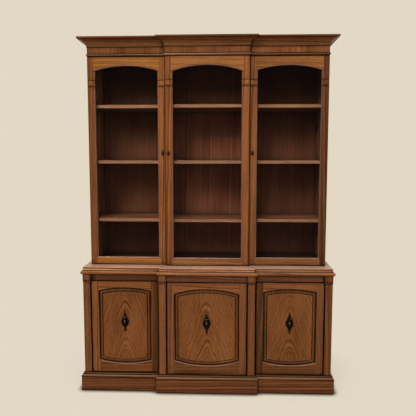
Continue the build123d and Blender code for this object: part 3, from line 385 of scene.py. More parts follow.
# %% Boards of the doors
board_colours = {
    "left_stile": "7d4b29", "left_rail": "955f2e", "left_lower_stile": "865432", "left_lower_rail": "824f2d",
    "centre_stile": "84502d", "centre_rail": "946037", "centre_lower_stile": "76492e",
    "centre_lower_rail": "865433", "right_stile": "74472b", "right_rail": "8a5832",
    "right_lower_stile": "75492e", "right_lower_rail": "7f4f2e", "left_panel": "7c4b2a",
    "centre_panel": "7d4e2c", "right_panel": "7b4c2b", "upright": "694128", "pilaster": "794b2d",
    "cove": "7e5034", "cap": "794327", "astragal": "946550", "moulding": "8e5935", "plinth": "704329",
    "plinth_moulding": "724a2e", "base_frieze": "613b27", "counter": "c2845e", "crossband": "75472b",
    "back": "573123", "inside": "24140e", "shelf": "6a402b",
}
print("board colours:", len(board_colours))

# %% Stiles and rails
# Shades across a door from its left to its right stile, and up its rails from the lowest to the highest,
# partly the boards' own tone and partly painted shade, darkest on the lower stiles beside the forward centre
# bay and at the foot of the lower doors' rails
stile_tones_and_shade = {
    "glass": {"left": (0.86, 1.36), "centre": (0.90, 1.09), "right": (1.31, 0.59)},
    "panel": {"left": (1.0, 0.42), "centre": (1.0, 1.05), "right": (0.48, 1.0)},
}
rail_tones_and_shade = {
    "glass": {"left": (1.30, 0.92), "centre": (1.10, 1.0), "right": (1.17, 0.96)},
    "panel": {"left": (0.80, 1.0), "centre": (0.55, 1.0), "right": (0.68, 1.0)},
}
# Heights where the collar blocks of the glazed doors' stiles begin and end
COLLAR_LINES = (1803.0, 1838.0)
# Word in the material's name, joints across the stiles, (painted shade, share of the painted highlight) of
# the edges of stiles and of rails, and the painted sheen on upward faces and the painted corner shade of the
# boards
door_kinds = {
    "glass": ("", COLLAR_LINES, (0.9, 0.55), (1.0, 0.65), {"top_sheen": 0.6, "corner_shade": 0.5}),
    "panel": ("lower_", (), (0.5, 0.0), (0.6, 0.0), {"top_sheen": 0.85, "corner_shade": 0.66}),
}
DOOR_THICKNESS = 20.0
# Each stile and each rail comes from another piece of the tree
STILE_PIECE, STILE_PIECE_STEP, RAIL_PIECE, RAIL_PIECE_STEP = 7.0, 11.0, 3.0, 17.0
bays = ("left", "centre", "right")
for number, bay in enumerate(bays):
    for storey, (kind, collars, stile_edge, rail_edge, painted_light) in door_kinds.items():
        stiles_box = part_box(f"{bay}_{storey}_door_stiles")
        (x_low, _, z_low), (x_high, _, z_high) = [[v / MM for v in corner] for corner in stiles_box]
        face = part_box(f"{bay}_{storey}_door_rails")[0][1] / MM
        standing = lacquered_wood(
            f"lacquered_mahogany_{kind}stile_{bay}", "z", board_colours[f"{bay}_{kind}stile"],
            STILE_PIECE + STILE_PIECE_STEP * number, fades=((0, x_low, x_high) + stile_tones_and_shade[storey][bay],),
            joints={"x": (x_low, x_high), "z": (z_low, z_high) + collars},
            faces=(face, face + DOOR_THICKNESS) + stile_edge, **painted_light,
        )
        lying = lacquered_wood(
            f"lacquered_mahogany_{kind}rail_{bay}", "x", board_colours[f"{bay}_{kind}rail"],
            RAIL_PIECE + RAIL_PIECE_STEP * number, fades=((2, z_low, z_high) + rail_tones_and_shade[storey][bay],),
            joints={"x": (x_low, x_high), "z": (z_low, z_high)},
            faces=(face, face + DOOR_THICKNESS) + rail_edge, **painted_light,
        )
        dress(standing, f"{bay}_{storey}_door_stiles")
        dress(lying, f"{bay}_{storey}_door_rails")
    dress(nodes[f"{bay}_glass_door_stiles"].data.materials[0], f"{bay}_glass_door_beads")
    print(bay, "doors dressed, faces of the lower one at y =", round(face), "mm")

# %% [markdown]
# ## Boards of the case
# Uprights and pilasters stand, and mouldings and rails lie along the front. The mouldings run past all three
# bays in lengths that were stained apart, so their tone steps at the breaks of the front, in a fade about two
# centimetres long. The four pilasters differ too, and their fades run where there is no pilaster. The rails
# over the lower doors go nearly black where they meet the outer pilasters, a painted shade in that corner.
# Dark lines, partly grime and partly painted shade, also mark the mitres of the cornice.

# %% Boards of the case
# All in millimetres: the pilasters' sides, the neck beads under their capitals, and as lines in plan the
# cornice's mitre and the inner ends of the rails over the lower doors
PILASTER_SIDES = (240.0, 282.0, 691.0, 733.0)
NECK_LINES = (659.5, 668.5)
CORNICE_MITRE = (0.7071, 0.7071, 105.4)
RAIL_ENDS = ((1.0, 0.0, 236.0), (1.0, 0.0, 286.0))
sides = tuple(sign * side for side in PILASTER_SIDES for sign in (-1, 1))
stepped = {"plan": (CORNICE_MITRE,)}
pilaster_tones = ((0, -700.0, -290.0, 1.0, 1.2), (0, -200.0, 200.0, 1.0, 0.92), (0, 290.0, 690.0, 1.0, 0.74))
cap_tones = ((0, 240.0, 700.0, 1.0, 1.25),)
moulding_tones = ((0, -290.0, -266.0, 0.88, 1.16), (0, 266.0, 290.0, 1.0, 0.88))
# the last two fades are painted shade, nearly black where the rails meet the outer pilasters
frieze_rail_tones = (
    (0, -262.0, -238.0, 0.90, 1.20), (0, 238.0, 262.0, 1.0, 0.85),
    (0, -680.0, -652.0, 0.26, 1.0), (0, 664.0, 682.0, 1.0, 0.26),
)
side_bays_darker = ((0, -262.0, -238.0, 0.45, 1.0), (0, 238.0, 262.0, 1.0, 0.45))
for name, grain, shift, joints, fades, pieces in (
    ("upright", "z", 37.0, {}, (), ("base_uprights", "upper_uprights")),
    ("pilaster", "z", 31.0, {"x": sides}, pilaster_tones, ("pilasters", "pilaster_capitals")),
    ("cove", "run", 5.0, stepped, (), ("cornice_cove",)),
    ("cap", "run", 6.0, stepped, cap_tones, ("cornice_cap",)),
    ("astragal", "run", 7.0, stepped, side_bays_darker, ("cornice_astragal",)),
    ("moulding", "run", 9.0, {}, moulding_tones, ("counter_moulding",)),
    ("plinth", "run", 13.0, {}, (), ("plinth_boards",)),
    ("plinth_moulding", "run", 15.0, {}, (), ("plinth_moulding",)),
    ("base_frieze", "x", 29.0, {"plan": RAIL_ENDS}, frieze_rail_tones, ("base_frieze_rails", "base_top")),
):
    heights = NECK_LINES if name == "pilaster" else tuple(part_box(pieces[0])[end][2] / MM for end in (0, 1))
    board = lacquered_wood(
        f"lacquered_mahogany_{name}", grain, board_colours[name], shift, joints=dict(joints, z=heights),
        fades=fades,
    )
    dress(board, *pieces)
    print(name, "joints at heights", [round(height, 1) for height in heights])

# %% [markdown]
# ## The counter
# The counter slab is made of three boards. The joints between them run from the corners of the upper case to
# the steps of the front, and its edge has a fine sunk line. The top is the palest and pinkest wood of all, a
# pale board under a strong painted sheen. A joint's line in plan comes from its two ends, by turning the run
# between them a quarter turn.

# %% Counter top
# The height of the sunk line, and x and y of the two ends of the right-hand joint, in millimetres
SLAB_LINE = 742.5
case_corner, slab_corner = (245.0, -118.0), (282.0, -196.0)
counter_tones = ((0, -290.0, -266.0, 1.12, 1.04), (0, 266.0, 290.0, 1.0, 0.82))
run_x, run_y = slab_corner[0] - case_corner[0], slab_corner[1] - case_corner[1]
run = math.hypot(run_x, run_y)
slab_mitre = (-run_y / run, run_x / run, (run_x * case_corner[1] - run_y * case_corner[0]) / run)
# the counter's top takes a strong painted sheen and less painted shade
counter_wood = lacquered_wood(
    "lacquered_mahogany_counter", "run", board_colours["counter"], shift=23.0, shelter_shade=0.2, top_sheen=0.75,
    joints={"z": (SLAB_LINE,), "plan": (slab_mitre,)}, fades=counter_tones,
)
dress(counter_wood, "counter_top")
print("slab mitre in plan:", [round(part, 3) for part in slab_mitre])

# %% [markdown]
# ## The frieze's crossbanding
# Under the cove the frieze is veneered with the grain standing upright, a crossband. Short lengths of
# figured veneer stand side by side, so the streaks are narrow and vertical, and they hardly wander.

# %% Crossbanded frieze
frieze_heights = (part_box("cornice_astragal")[1][2] / MM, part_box("cornice_cove")[0][2] / MM)
right_bay_paler = ((0, 200.0, 300.0, 1.0, 1.3),)
crossband = lacquered_wood(
    "lacquered_mahogany_crossband", "z", board_colours["crossband"], shift=41.0, spacing=8.0, wander=2.0,
    figure=0.26, corner_shade=0.6, joints=dict(stepped, z=frieze_heights), fades=right_bay_paler,
)
dress(crossband, "cornice_frieze")
print("crossband between heights", [round(height, 1) for height in frieze_heights])

# %% [markdown]
# ## The inside
# The back, the bottoms and the tops inside are stained darker and hardly polished. The back's veneer stands
# upright, in three leaves of which the middle one is the palest, and painted shade darkens it towards its top
# and its foot. The shelves are stained too, and their front edges carry a pale painted highlight.

# %% Boards inside the case
# a pale painted highlight on the shelves' front edges
FRONT_HIGHLIGHT = "a47156"
# The backward part of a face's direction where the painted highlight is full and where it starts
FRONTWARD_FULL, FRONTWARD_STARTS = -0.9, -0.6
# inside, less painted shade and no painted sheen
unpolished = {"shelter_shade": 0.3, "gloss": 0.5, "top_sheen": 0.0}
middle_leaf = ((0, -262.0, -238.0, 1.06, 1.82), (0, 238.0, 262.0, 1.0, 0.58))
# painted shade towards the top and the foot of the back
shaded_ends = ((2, 1430.0, 1820.0, 1.0, 0.28), (2, 750.0, 1050.0, 0.60, 1.0))
back_wood = lacquered_wood(
    "stained_mahogany_back", "z", board_colours["back"], shift=53.0, spacing=16.0, wander=10.0,
    figure=0.34, fades=middle_leaf + shaded_ends, **unpolished
)
dress(back_wood, "upper_back", "base_back")
inside_wood = lacquered_wood(
    "stained_mahogany_inside", "x", board_colours["inside"], shift=59.0, **unpolished
)
dress(inside_wood, "upper_bottoms", "upper_tops")


def painted_front_highlight(tree, axes, colour):
    """Paint a pale highlight on the faces that look to the front."""
    direction = add(tree, "ShaderNodeTexCoord").outputs["Normal"]
    frontward = add(tree, "ShaderNodeSeparateXYZ", {0: direction}).outputs[1]
    limits = {0: frontward, 1: FRONTWARD_FULL, 2: FRONTWARD_STARTS, 3: 1.0, 4: 0.0}
    level = add(tree, "ShaderNodeMapRange", limits).outputs[0]
    mixed = add(tree, "ShaderNodeMix", {0: level, 6: colour, 7: linear(FRONT_HIGHLIGHT)}, data_type="RGBA")
    return mixed.outputs[2]


shelf_wood = lacquered_wood(
    "stained_mahogany_shelf", "x", board_colours["shelf"], shift=61.0, corner_shade=0.4, finish=painted_front_highlight,
    **unpolished
)
dress(shelf_wood, "upper_shelves", "base_shelves", "base_bottom")
print("leaves of the back step over x =", [fade[1:3] for fade in middle_leaf])

# %% [markdown]
# ## Crown-cut door panels
# The lower doors show nested arches. Here the heart line runs behind the middle of the panel, close to it,
# and the trunk narrows strongly, so each ring meets the surface in an arch that points up. The field stands
# proud of a narrow band, and between them lies a quirk, a small groove. The maker's dark glaze was wiped off
# the field and left a tint on the band. The quirk and the sunk ground beside the band are darker still,
# partly glaze and partly painted shade of those narrow recesses. The material knows them by their depth
# behind the door's face.

# %% Crown-cut panels with a glazed and shaded quirk
# In millimetres: how far the heart lies behind the door's face, and the depths where each level starts
HEART_BEHIND = 34.0
CROWN_TAPER, CROWN_SPACING, CROWN_WANDER, CROWN_FIGURE = 0.30, 7.5, 38.0, 0.5
PANEL_PIECE, PANEL_PIECE_STEP = 71.0, 9.0
BAND_DEPTH, QUIRK_DEPTH, GROUND_DEPTH, GLAZE_SPAN = 4.1, 6.4, 9.6, 20.0
# the band's level is glaze, and the quirk's is glaze and painted shade
BAND_GLAZE, QUIRK_GLAZE_AND_SHADE = 0.36, 0.68
GLAZE_AND_SHADE = "2a150b"


def glaze_and_recess_shade(face_y):
    """A finish that darkens the band with glaze, and the quirk and the sunk ground with glaze and painted
    shade, of a panel whose door has its face at face_y. The panel's back stays bare."""

    def finish(tree, axes, colour):
        y = add(tree, "ShaderNodeSeparateXYZ", {0: axes}).outputs[1]
        behind = add(tree, "ShaderNodeMath", {0: y, 1: face_y}, operation="SUBTRACT").outputs[0]
        levels = ((0.0, 0.0), (BAND_DEPTH, BAND_GLAZE), (QUIRK_DEPTH, QUIRK_GLAZE_AND_SHADE), (GROUND_DEPTH, 0.0))
        stops = [(depth / GLAZE_SPAN, (level, level, level, 1.0)) for depth, level in levels]
        share = add(tree, "ShaderNodeMath", {0: behind, 1: GLAZE_SPAN}, operation="DIVIDE").outputs[0]
        ramp = add(tree, "ShaderNodeValToRGB", {0: share}, stops)
        ramp.color_ramp.interpolation = "CONSTANT"
        tints = {0: ramp.outputs[0], 6: colour, 7: linear(GLAZE_AND_SHADE)}
        return add(tree, "ShaderNodeMix", tints, data_type="RGBA").outputs[2]

    return finish


for number, bay in enumerate(bays):
    panel = f"{bay}_panel_door_panel"
    (x_low, _, z_low), (x_high, _, z_high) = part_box(panel)
    door_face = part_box(f"{bay}_panel_door_stiles")[0][1] / MM
    heart_line = ((x_low + x_high) / 2 / MM, door_face + HEART_BEHIND, z_low / MM)
    veneer = lacquered_wood(
        f"lacquered_crown_cut_mahogany_{bay}", "z", board_colours[f"{bay}_panel"],
        PANEL_PIECE + PANEL_PIECE_STEP * number, heart=heart_line, spacing=CROWN_SPACING, taper=CROWN_TAPER,
        wander=CROWN_WANDER, figure=CROWN_FIGURE, finish=glaze_and_recess_shade(door_face),
    )
    dress(veneer, panel)
    print(panel, "heart line at x =", round(heart_line[0]), "mm, door face at y =", round(door_face), "mm")

# %% [markdown]
# ## Metal fittings
# The knobs and drop pulls are cast brass given a dark antique patina. Handling rubs it off the high spots, so
# raised places are warmer and shinier than the hollows. Hinge plates and barrels are blackened drawn steel,
# rubbed back to grey, and the shelf pins are turned brass. All are metals, so their colour is in the
# reflection.

# %% Metals
# Lengths in metres. The patina is a ramp from hollow to rubbed places.
PATINA_REACH, PATINA_HOLLOW, PATINA_RUBBED = 0.004, 0.25, 0.72
SPOT_LOW, SPOT_HIGH, SPOT_ROUGHER, SPOT_SMOOTHER = 0.3, 0.7, 0.12, 0.08
CAST_RELIEF, CAST_STRENGTH = 0.0003, 0.25


def rubbed_metal(name, hollow, raised, roughness, spot_mm):
    """A metal whose patina is worn in spots about spot_mm wide and on its outer edges."""
    material, tree = new_material(name)
    place = add(tree, "ShaderNodeTexCoord").outputs["Object"]
    spots = {"Vector": place, "Scale": 1 / (spot_mm * MM), "Detail": 4.0}
    noise = add(tree, "ShaderNodeTexNoise", spots).outputs[0]
    corner = add(tree, "ShaderNodeAmbientOcclusion", {"Distance": PATINA_REACH}, samples=6).outputs["AO"]
    worn = add(tree, "ShaderNodeMath", {0: noise, 1: corner}, operation="MULTIPLY").outputs[0]
    stops = ((PATINA_HOLLOW, linear(hollow)), (PATINA_RUBBED, linear(raised)))
    colour = add(tree, "ShaderNodeValToRGB", {0: worn}, stops).outputs["Color"]
    limits = {0: noise, 1: SPOT_LOW, 2: SPOT_HIGH, 3: roughness + SPOT_ROUGHER, 4: roughness - SPOT_SMOOTHER}
    rough = add(tree, "ShaderNodeMapRange", limits).outputs[0]
    relief = {"Strength": CAST_STRENGTH, "Distance": CAST_RELIEF, "Height": noise}
    bump = add(tree, "ShaderNodeBump", relief).outputs[0]
    surface = add(tree, "ShaderNodeBsdfPrincipled", {
        "Base Color": colour, "Metallic": 1.0, "Roughness": rough, "Normal": bump,
    })
    add(tree, "ShaderNodeOutputMaterial", {0: surface.outputs[0]})
    return material


bronze = rubbed_metal("patinated_cast_brass", "1f1b18", "6b5d4a", roughness=0.38, spot_mm=3.0)
handled = rubbed_metal("handled_cast_brass", "2b241b", "a08c6a", roughness=0.34, spot_mm=3.0)
steel = rubbed_metal("blackened_drawn_steel", "4a4542", "7d7670", roughness=0.45, spot_mm=5.0)
pin_brass = rubbed_metal("turned_brass", "6e5530", "b8964f", roughness=0.32, spot_mm=2.0)
for bay in bays:
    dress(bronze, f"{bay}_glass_door_knob", f"{bay}_pull_plate")
    dress(handled, f"{bay}_pull_drop")
    dress(steel, f"{bay}_glass_door_sockets", f"{bay}_panel_door_leaves")
dress(steel, "base_pivot_plates", "upper_pivot_plates")
dress(pin_brass, "shelf_pins")
print("metals:", [metal.name for metal in (bronze, handled, steel, pin_brass)])

# %% [markdown]
# ## Brads and pins
# Two kinds of small fixings never reached the CAD model. Brads hold each glazing bead to its door's frame,
# which shows when a door stands open, and a round-headed pin fixes each end of a pull's plate. Both are a
# dome on a thin rim, set at even spaces along a path, so one Geometry Nodes tree makes them. It resamples the
# path, puts a head on every point with a slight random size, and turns them to face out.

# %% Heads along a path
# The head's sides, and its sizes as shares of its radius
HEAD_SIDES, RIM_DEPTH, DOME_RINGS, DOME_RADIUS = 12, 0.6, 7, 0.8
SMALLEST_HEAD, LARGEST_HEAD = 0.92, 1.08
heads = bpy.data.node_groups.new("heads_along_a_path", "GeometryNodeTree")
for label, kind in (
    ("Path", "NodeSocketGeometry"), ("Spacing", "NodeSocketFloat"), ("Radius", "NodeSocketFloat"),
    ("Proud", "NodeSocketFloat"), ("Facing", "NodeSocketVector"), ("Seed", "NodeSocketInt"),
    ("Material", "NodeSocketMaterial"),
):
    heads.interface.new_socket(label, in_out="INPUT", socket_type=kind)
heads.interface.new_socket("Heads", in_out="OUTPUT", socket_type="NodeSocketGeometry")
entry = add(heads, "NodeGroupInput").outputs
curve = add(heads, "GeometryNodeMeshToCurve", {0: entry["Path"]}).outputs[0]
spread = add(heads, "GeometryNodeResampleCurve", {"Curve": curve, "Length": entry["Spacing"]}, mode="LENGTH")
rim_sizes = {"Vertices": HEAD_SIDES, "Radius": 1.0, "Depth": RIM_DEPTH}
rim = add(heads, "GeometryNodeMeshCylinder", rim_sizes).outputs["Mesh"]
dome_sizes = {"Segments": HEAD_SIDES, "Rings": DOME_RINGS, "Radius": DOME_RADIUS}
dome = add(heads, "GeometryNodeMeshUVSphere", dome_sizes).outputs["Mesh"]
head = add(heads, "GeometryNodeJoinGeometry", {0: rim})
heads.links.new(dome, head.inputs[0])
radius, proud = entry["Radius"], entry["Proud"]
size = add(heads, "ShaderNodeCombineXYZ", {0: radius, 1: radius, 2: proud}).outputs[0]
spread_of_sizes = {"Min": SMALLEST_HEAD, "Max": LARGEST_HEAD, "Seed": entry["Seed"]}
vary = add(heads, "FunctionNodeRandomValue", spread_of_sizes, data_type="FLOAT").outputs["Value"]
sized = add(heads, "ShaderNodeVectorMath", {0: size, "Scale": vary}, operation="SCALE").outputs[0]
turned = add(heads, "FunctionNodeEulerToRotation", {0: entry["Facing"]}).outputs[0]
placed = add(heads, "GeometryNodeInstanceOnPoints", {
    "Points": spread.outputs[0], "Instance": head.outputs[0], "Rotation": turned, "Scale": sized,
}).outputs[0]
solid = add(heads, "GeometryNodeRealizeInstances", {0: placed}).outputs[0]
coated = add(heads, "GeometryNodeSetMaterial", {0: solid, "Material": entry["Material"]}).outputs[0]
add(heads, "NodeGroupOutput", {0: coated})
print("nodes in the tree of heads:", len(heads.nodes))

# %% Make a piece of heads


def set_heads(name, path, closed, body, metal, **settings):
    """A finished mesh of heads along a path of points, riding on a body. settings are the tree's inputs.
    Returns how many faces the piece has."""
    links = [(i, i + 1) for i in range(len(path) - 1)] + ([(len(path) - 1, 0)] if closed else [])
    line = bpy.data.meshes.new(f"{name}_path")
    line.from_pydata(path, links, [])
    holder = bpy.data.objects.new(name, line)
    bpy.context.scene.collection.objects.link(holder)
    modifier = holder.modifiers.new("heads", "NODES")
    modifier.node_group = heads
    for item in heads.interface.items_tree:
        if item.in_out == "INPUT" and item.name in settings:
            modifier[item.identifier] = settings[item.name]
        if item.in_out == "INPUT" and item.name == "Material":
            modifier[item.identifier] = metal
    shown = holder.evaluated_get(bpy.context.evaluated_depsgraph_get())
    made = bpy.data.meshes.new_from_object(shown)
    holder.modifiers.remove(modifier)
    holder.data = made
    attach(holder, body)
    return len(made.polygons)


# %% Set the brads and pins
# Sizes in metres. The pins sit at two shares of the plate's height.
BRAD_SPACING, BRAD_RADIUS, BRAD_PROUD = 0.110, 0.0011, 0.0005
PIN_RADIUS, PIN_PROUD = 0.0016, 0.0010
PIN_SHARES = (0.12, 0.90)
HALF_BEAD, PLATE_THICKNESS = 3.5 * MM, 2.5 * MM
FIRST_PIN_SEED = 10
FACE_FRONT, FACE_REAR = (math.pi / 2, 0, 0), (-math.pi / 2, 0, 0)
for number, bay in enumerate(bays):
    (bead_x, _, bead_z), (far_x, bead_rear, far_z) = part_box(f"{bay}_glass_door_beads")
    left, right, low, high = bead_x + HALF_BEAD, far_x - HALF_BEAD, bead_z + HALF_BEAD, far_z - HALF_BEAD
    loop = [(x, bead_rear, z) for x, z in ((left, low), (right, low), (right, high), (left, high))]
    faces = set_heads(
        f"{bay}_bead_brads", loop, True, f"{bay}_glass_door", steel, Spacing=BRAD_SPACING,
        Radius=BRAD_RADIUS, Proud=BRAD_PROUD, Facing=FACE_REAR, Seed=number,
    )
    (plate_x, _, plate_z), (plate_far_x, plate_rear, plate_far_z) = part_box(f"{bay}_pull_plate")
    middle, plate_face = (plate_x + plate_far_x) / 2, plate_rear - PLATE_THICKNESS
    ends = [(middle, plate_face, plate_z + share * (plate_far_z - plate_z)) for share in PIN_SHARES]
    pins = set_heads(
        f"{bay}_plate_pins", ends, False, f"{bay}_panel_door", handled, Spacing=ends[1][2] - ends[0][2],
        Radius=PIN_RADIUS, Proud=PIN_PROUD, Facing=FACE_FRONT, Seed=FIRST_PIN_SEED + number,
    )
    print(bay, "brads have", faces, "faces and pins", pins)

# %% [markdown]
# ## Window glass
# The upper doors hold 3 mm drawn sheet glass. It is nearly clear, and its surface wavers a little because it
# was pulled, not floated. Rays from the lamps pass straight through it, so that the shelves behind are lit as
# they would be. Window glass has an IOR of 1.52.

# %% Door glass
WAVER_WIDTH, WAVER_LENGTH, WAVER_HEIGHT, WAVER_STRENGTH = 90.0, 500.0, 0.001, 0.15
GLASS_TINT, GLASS_IOR, GLASS_ROUGHNESS = "fbfdfc", 1.52, 0.02


def sheet_glass(name):
    """Thin drawn glass that lets lamp light through to what is behind it."""
    material, tree = new_material(name)
    axes = grain_axes(tree, "z")
    waver = streaks(tree, axes, WAVER_WIDTH, WAVER_LENGTH, detail=1.0)
    relief = {"Strength": WAVER_STRENGTH, "Distance": WAVER_HEIGHT, "Height": waver}
    bump = add(tree, "ShaderNodeBump", relief).outputs[0]
    glass = add(tree, "ShaderNodeBsdfPrincipled", {
        "Base Color": linear(GLASS_TINT), "Roughness": GLASS_ROUGHNESS, "IOR": GLASS_IOR,
        "Transmission Weight": 1.0, "Normal": bump,
    })
    clear = add(tree, "ShaderNodeBsdfTransparent", {"Color": linear(GLASS_TINT)})
    lamp_ray = add(tree, "ShaderNodeLightPath").outputs["Is Shadow Ray"]
    both = add(tree, "ShaderNodeMixShader", {0: lamp_ray, 1: glass.outputs[0], 2: clear.outputs[0]})
    add(tree, "ShaderNodeOutputMaterial", {0: both.outputs[0]})
    return material


dress(sheet_glass("drawn_sheet_glass"), *(f"{bay}_glass_door_glass" for bay in bays))
print("nodes dressed:", len(dressed), "of", len(nodes))

# %% [markdown]
# ## Camera
# The picture is taken nearly head-on, from a little right of the middle and above the cabinet's half height.
# The camera's place and lens were fitted to edges measured in the photograph.

# %% Camera
CAMERA_PLACE = (0.1266, -3.1615, 1.4059)
CAMERA_PITCH, CAMERA_YAW = math.radians(84.19), math.radians(2.29)
LENS_MM, SENSOR_MM = 45.04, 36.0
camera_data = bpy.data.cameras.new("camera")
camera_data.lens = LENS_MM
camera_data.sensor_width = SENSOR_MM
camera = bpy.data.objects.new("camera", camera_data)
camera.location = CAMERA_PLACE
camera.rotation_euler = (CAMERA_PITCH, 0, CAMERA_YAW)
bpy.context.scene.collection.objects.link(camera)
bpy.context.scene.camera = camera
bpy.context.scene.view_settings.view_transform = "Standard"
print("camera at", CAMERA_PLACE, "with a lens of", LENS_MM, "mm")

# %% [markdown]
# ## Lamps
# A wide soft lamp hangs in front, above and to the left. A weaker one fills from the right, and a small one
# overhead lights the counter. The fill lamp is kept from mirror and glass rays, because from the side its
# square would stand as a bright patch in the panes.

# %% Lamps


def soft_lamp(name, place, aim, size, power):
    """A square area lamp at a place, turned towards a point."""
    lamp = bpy.data.lights.new(name, "AREA")
    lamp.size = size
    lamp.energy = power
    holder = bpy.data.objects.new(name, lamp)
    holder.location = place
    x, y, z = [a - p for a, p in zip(aim, place)]
    holder.rotation_euler = (math.atan2(math.hypot(x, y), -z), 0, math.atan2(y, x) - math.pi / 2)
    bpy.context.scene.collection.objects.link(holder)
    return holder


middle_height = high_corner[2] / 2
key = soft_lamp("key_lamp", (-1.9, -5.2, 5.6), (0, 0, middle_height), size=2.6, power=315)
fill = soft_lamp("fill_lamp", (3.2, -5.0, 2.6), (0, 0, middle_height), size=3.0, power=70)
fill.visible_glossy = False
fill.visible_transmission = False
top = soft_lamp("top_lamp", (0.1, -1.2, 4.6), (0, -0.1, 0.7), size=1.6, power=30)
print("lamps in watts:", {lamp.name: lamp.data.energy for lamp in (key, fill, top)})

# %% [markdown]
# ## The room
# The plain cream behind the cabinet is the world's own colour. The world shows three things, by what a ray
# has met. Seen straight on or through a pane it is cream, without any light from a lamp. In a mirrored ray it
# is cream behind the cabinet and dim in front, as a room is, so that the panes and the polish stay calm. To a
# ray that scattered off a surface it is a weak, even light that fills the shadows.

# %% Room
CREAM = "e3d8c4"
DIM_FRONT = "362a28"
ROOM_TINT, ROOM_LIGHT = "f4efe6", 0.20
# A ray's count of bounces is a whole number, so half parts none from one or more
HALF_BOUNCE = 0.5
# The backward part of a direction where the dim front starts to turn cream and where it is all cream
REAR_STARTS, REAR_FULL = -0.25, 0.35

world = bpy.data.worlds.new("studio")
bpy.context.scene.world = world
world.use_nodes = True
sky = world.node_tree
sky.nodes.clear()
paths = add(sky, "ShaderNodeLightPath").outputs
reflected, scattered = (
    add(sky, "ShaderNodeMath", {0: paths[depth], 1: HALF_BOUNCE}, operation="GREATER_THAN").outputs[0]
    for depth in ("Glossy Depth", "Diffuse Depth")
)
heading = add(sky, "ShaderNodeTexCoord").outputs["Generated"]
to_rear = add(sky, "ShaderNodeSeparateXYZ", {0: heading}).outputs[1]
limits = {0: to_rear, 1: REAR_STARTS, 2: REAR_FULL, 3: 0.0, 4: 1.0}
rear = add(sky, "ShaderNodeMapRange", limits).outputs[0]
tints = {0: rear, 6: linear(DIM_FRONT), 7: linear(CREAM)}
around = add(sky, "ShaderNodeMix", tints, data_type="RGBA").outputs[2]
room = add(sky, "ShaderNodeBackground", {"Color": linear(ROOM_TINT), "Strength": ROOM_LIGHT}).outputs[0]
mirrored = add(sky, "ShaderNodeBackground", {"Color": around, "Strength": 1.0}).outputs[0]
cream = add(sky, "ShaderNodeBackground", {"Color": linear(CREAM), "Strength": 1.0}).outputs[0]
straight = add(sky, "ShaderNodeMixShader", {0: reflected, 1: cream, 2: mirrored}).outputs[0]
chosen = add(sky, "ShaderNodeMixShader", {0: scattered, 1: straight, 2: room})
add(sky, "ShaderNodeOutputWorld", {0: chosen.outputs[0]})
print("nodes in the world:", len(sky.nodes))

# %% [markdown]
# ## The floor
# The floor has to be the same cream as the backdrop, and still hold the cabinet's shadow. So where it is
# seen, it shows a share of its own colour and a share of the lamps' light on it. Far off it is all its own
# colour, and near the plinth the lamps' share brings the shadow in. There its own colour is a little
# stronger, to make up for lamplight that is dimmer than the cream. A thin painted shadow lies where plinth
# and floor meet.

# %% Floor material
# Lengths in metres. How open a place is where the painted contact shadow is full and where it ends.
FLOOR_OWN_SHARE, FLOOR_LIT_LEVEL, SHADOW_REACH = 0.75, 0.8, 0.35
CONTACT_REACH, CONTACT_FULL, CONTACT_ENDS, CONTACT_SHADOW_TINT = 0.04, 0.60, 0.98, "1f1d19"
# The cornice stands this far out over the plinth's ends, and anything over the floor counts as on it
CORNICE_OVERHANG, ANY_HEIGHT = 30 * MM, 1.0

floor_material, tree = new_material("cream_floor")
place = add(tree, "ShaderNodeTexCoord").outputs["Object"]
folded = add(tree, "ShaderNodeVectorMath", {0: place}, operation="ABSOLUTE").outputs[0]
plinth_half = (high_corner[0] - CORNICE_OVERHANG, high_corner[1], ANY_HEIGHT)
beyond = add(tree, "ShaderNodeVectorMath", {0: folded, 1: plinth_half}, operation="SUBTRACT").outputs[0]
outside = add(tree, "ShaderNodeVectorMath", {0: beyond, 1: (0, 0, 0)}, operation="MAXIMUM").outputs[0]
away = add(tree, "ShaderNodeVectorMath", {0: outside}, operation="LENGTH").outputs["Value"]
own_level = (1 - (1 - FLOOR_OWN_SHARE) * FLOOR_LIT_LEVEL) / FLOOR_OWN_SHARE
near, level = (
    add(tree, "ShaderNodeMapRange", {0: away, 1: 0.0, 2: SHADOW_REACH, 3: at_plinth, 4: 1.0}).outputs[0]
    for at_plinth in (FLOOR_OWN_SHARE, own_level)
)
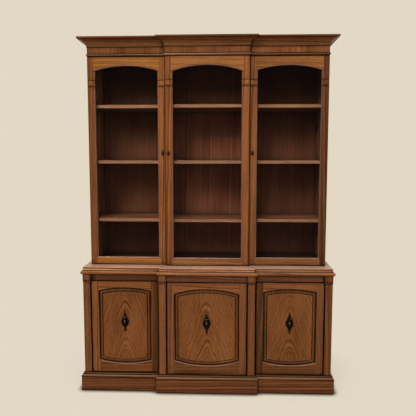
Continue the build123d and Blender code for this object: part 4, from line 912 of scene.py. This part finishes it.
# a painted contact shadow: the floor's own colour turns dark where the plinth closes it in
touch = add(tree, "ShaderNodeAmbientOcclusion", {"Distance": CONTACT_REACH}, samples=16).outputs["AO"]
limits = {0: touch, 1: CONTACT_FULL, 2: CONTACT_ENDS, 3: 0.0, 4: 1.0}
contact = add(tree, "ShaderNodeMapRange", limits).outputs[0]
tints = {0: contact, 6: linear(CONTACT_SHADOW_TINT), 7: linear(CREAM)}
tint = add(tree, "ShaderNodeMix", tints, data_type="RGBA").outputs[2]
lit = add(tree, "ShaderNodeBsdfDiffuse", {"Color": linear(CREAM)}).outputs[0]
own = add(tree, "ShaderNodeEmission", {"Color": tint, "Strength": level}).outputs[0]
dim = add(tree, "ShaderNodeEmission", {"Color": linear(DIM_FRONT), "Strength": 1.0}).outputs[0]
paths = add(tree, "ShaderNodeLightPath").outputs
seen_rays = {0: paths["Is Camera Ray"], 1: paths["Is Transmission Ray"]}
watched = add(tree, "ShaderNodeMath", seen_rays, operation="MAXIMUM").outputs[0]
share = add(tree, "ShaderNodeMath", {0: watched, 1: near}, operation="MULTIPLY").outputs[0]
seen = add(tree, "ShaderNodeMixShader", {0: share, 1: lit, 2: own}).outputs[0]
bounces = {0: paths["Glossy Depth"], 1: HALF_BOUNCE}
in_mirror = add(tree, "ShaderNodeMath", bounces, operation="GREATER_THAN").outputs[0]
surface = add(tree, "ShaderNodeMixShader", {0: in_mirror, 1: seen, 2: dim}).outputs[0]
add(tree, "ShaderNodeOutputMaterial", {0: surface})
print("floor's own light at the plinth:", round(own_level, 3))

# %% Floor
FLOOR_SIZE = 14.0
floor_mesh = bpy.data.meshes.new("floor")
half_floor = FLOOR_SIZE / 2
signs = ((-1, -1), (1, -1), (1, 1), (-1, 1))
corners = [(right * half_floor, rear * half_floor, low_corner[2]) for right, rear in signs]
floor_mesh.from_pydata(corners, [], [(0, 1, 2, 3)])
floor = bpy.data.objects.new("floor", floor_mesh)
floor_mesh.materials.append(floor_material)
bpy.context.scene.collection.objects.link(floor)
print("floor is", FLOOR_SIZE, "m wide")
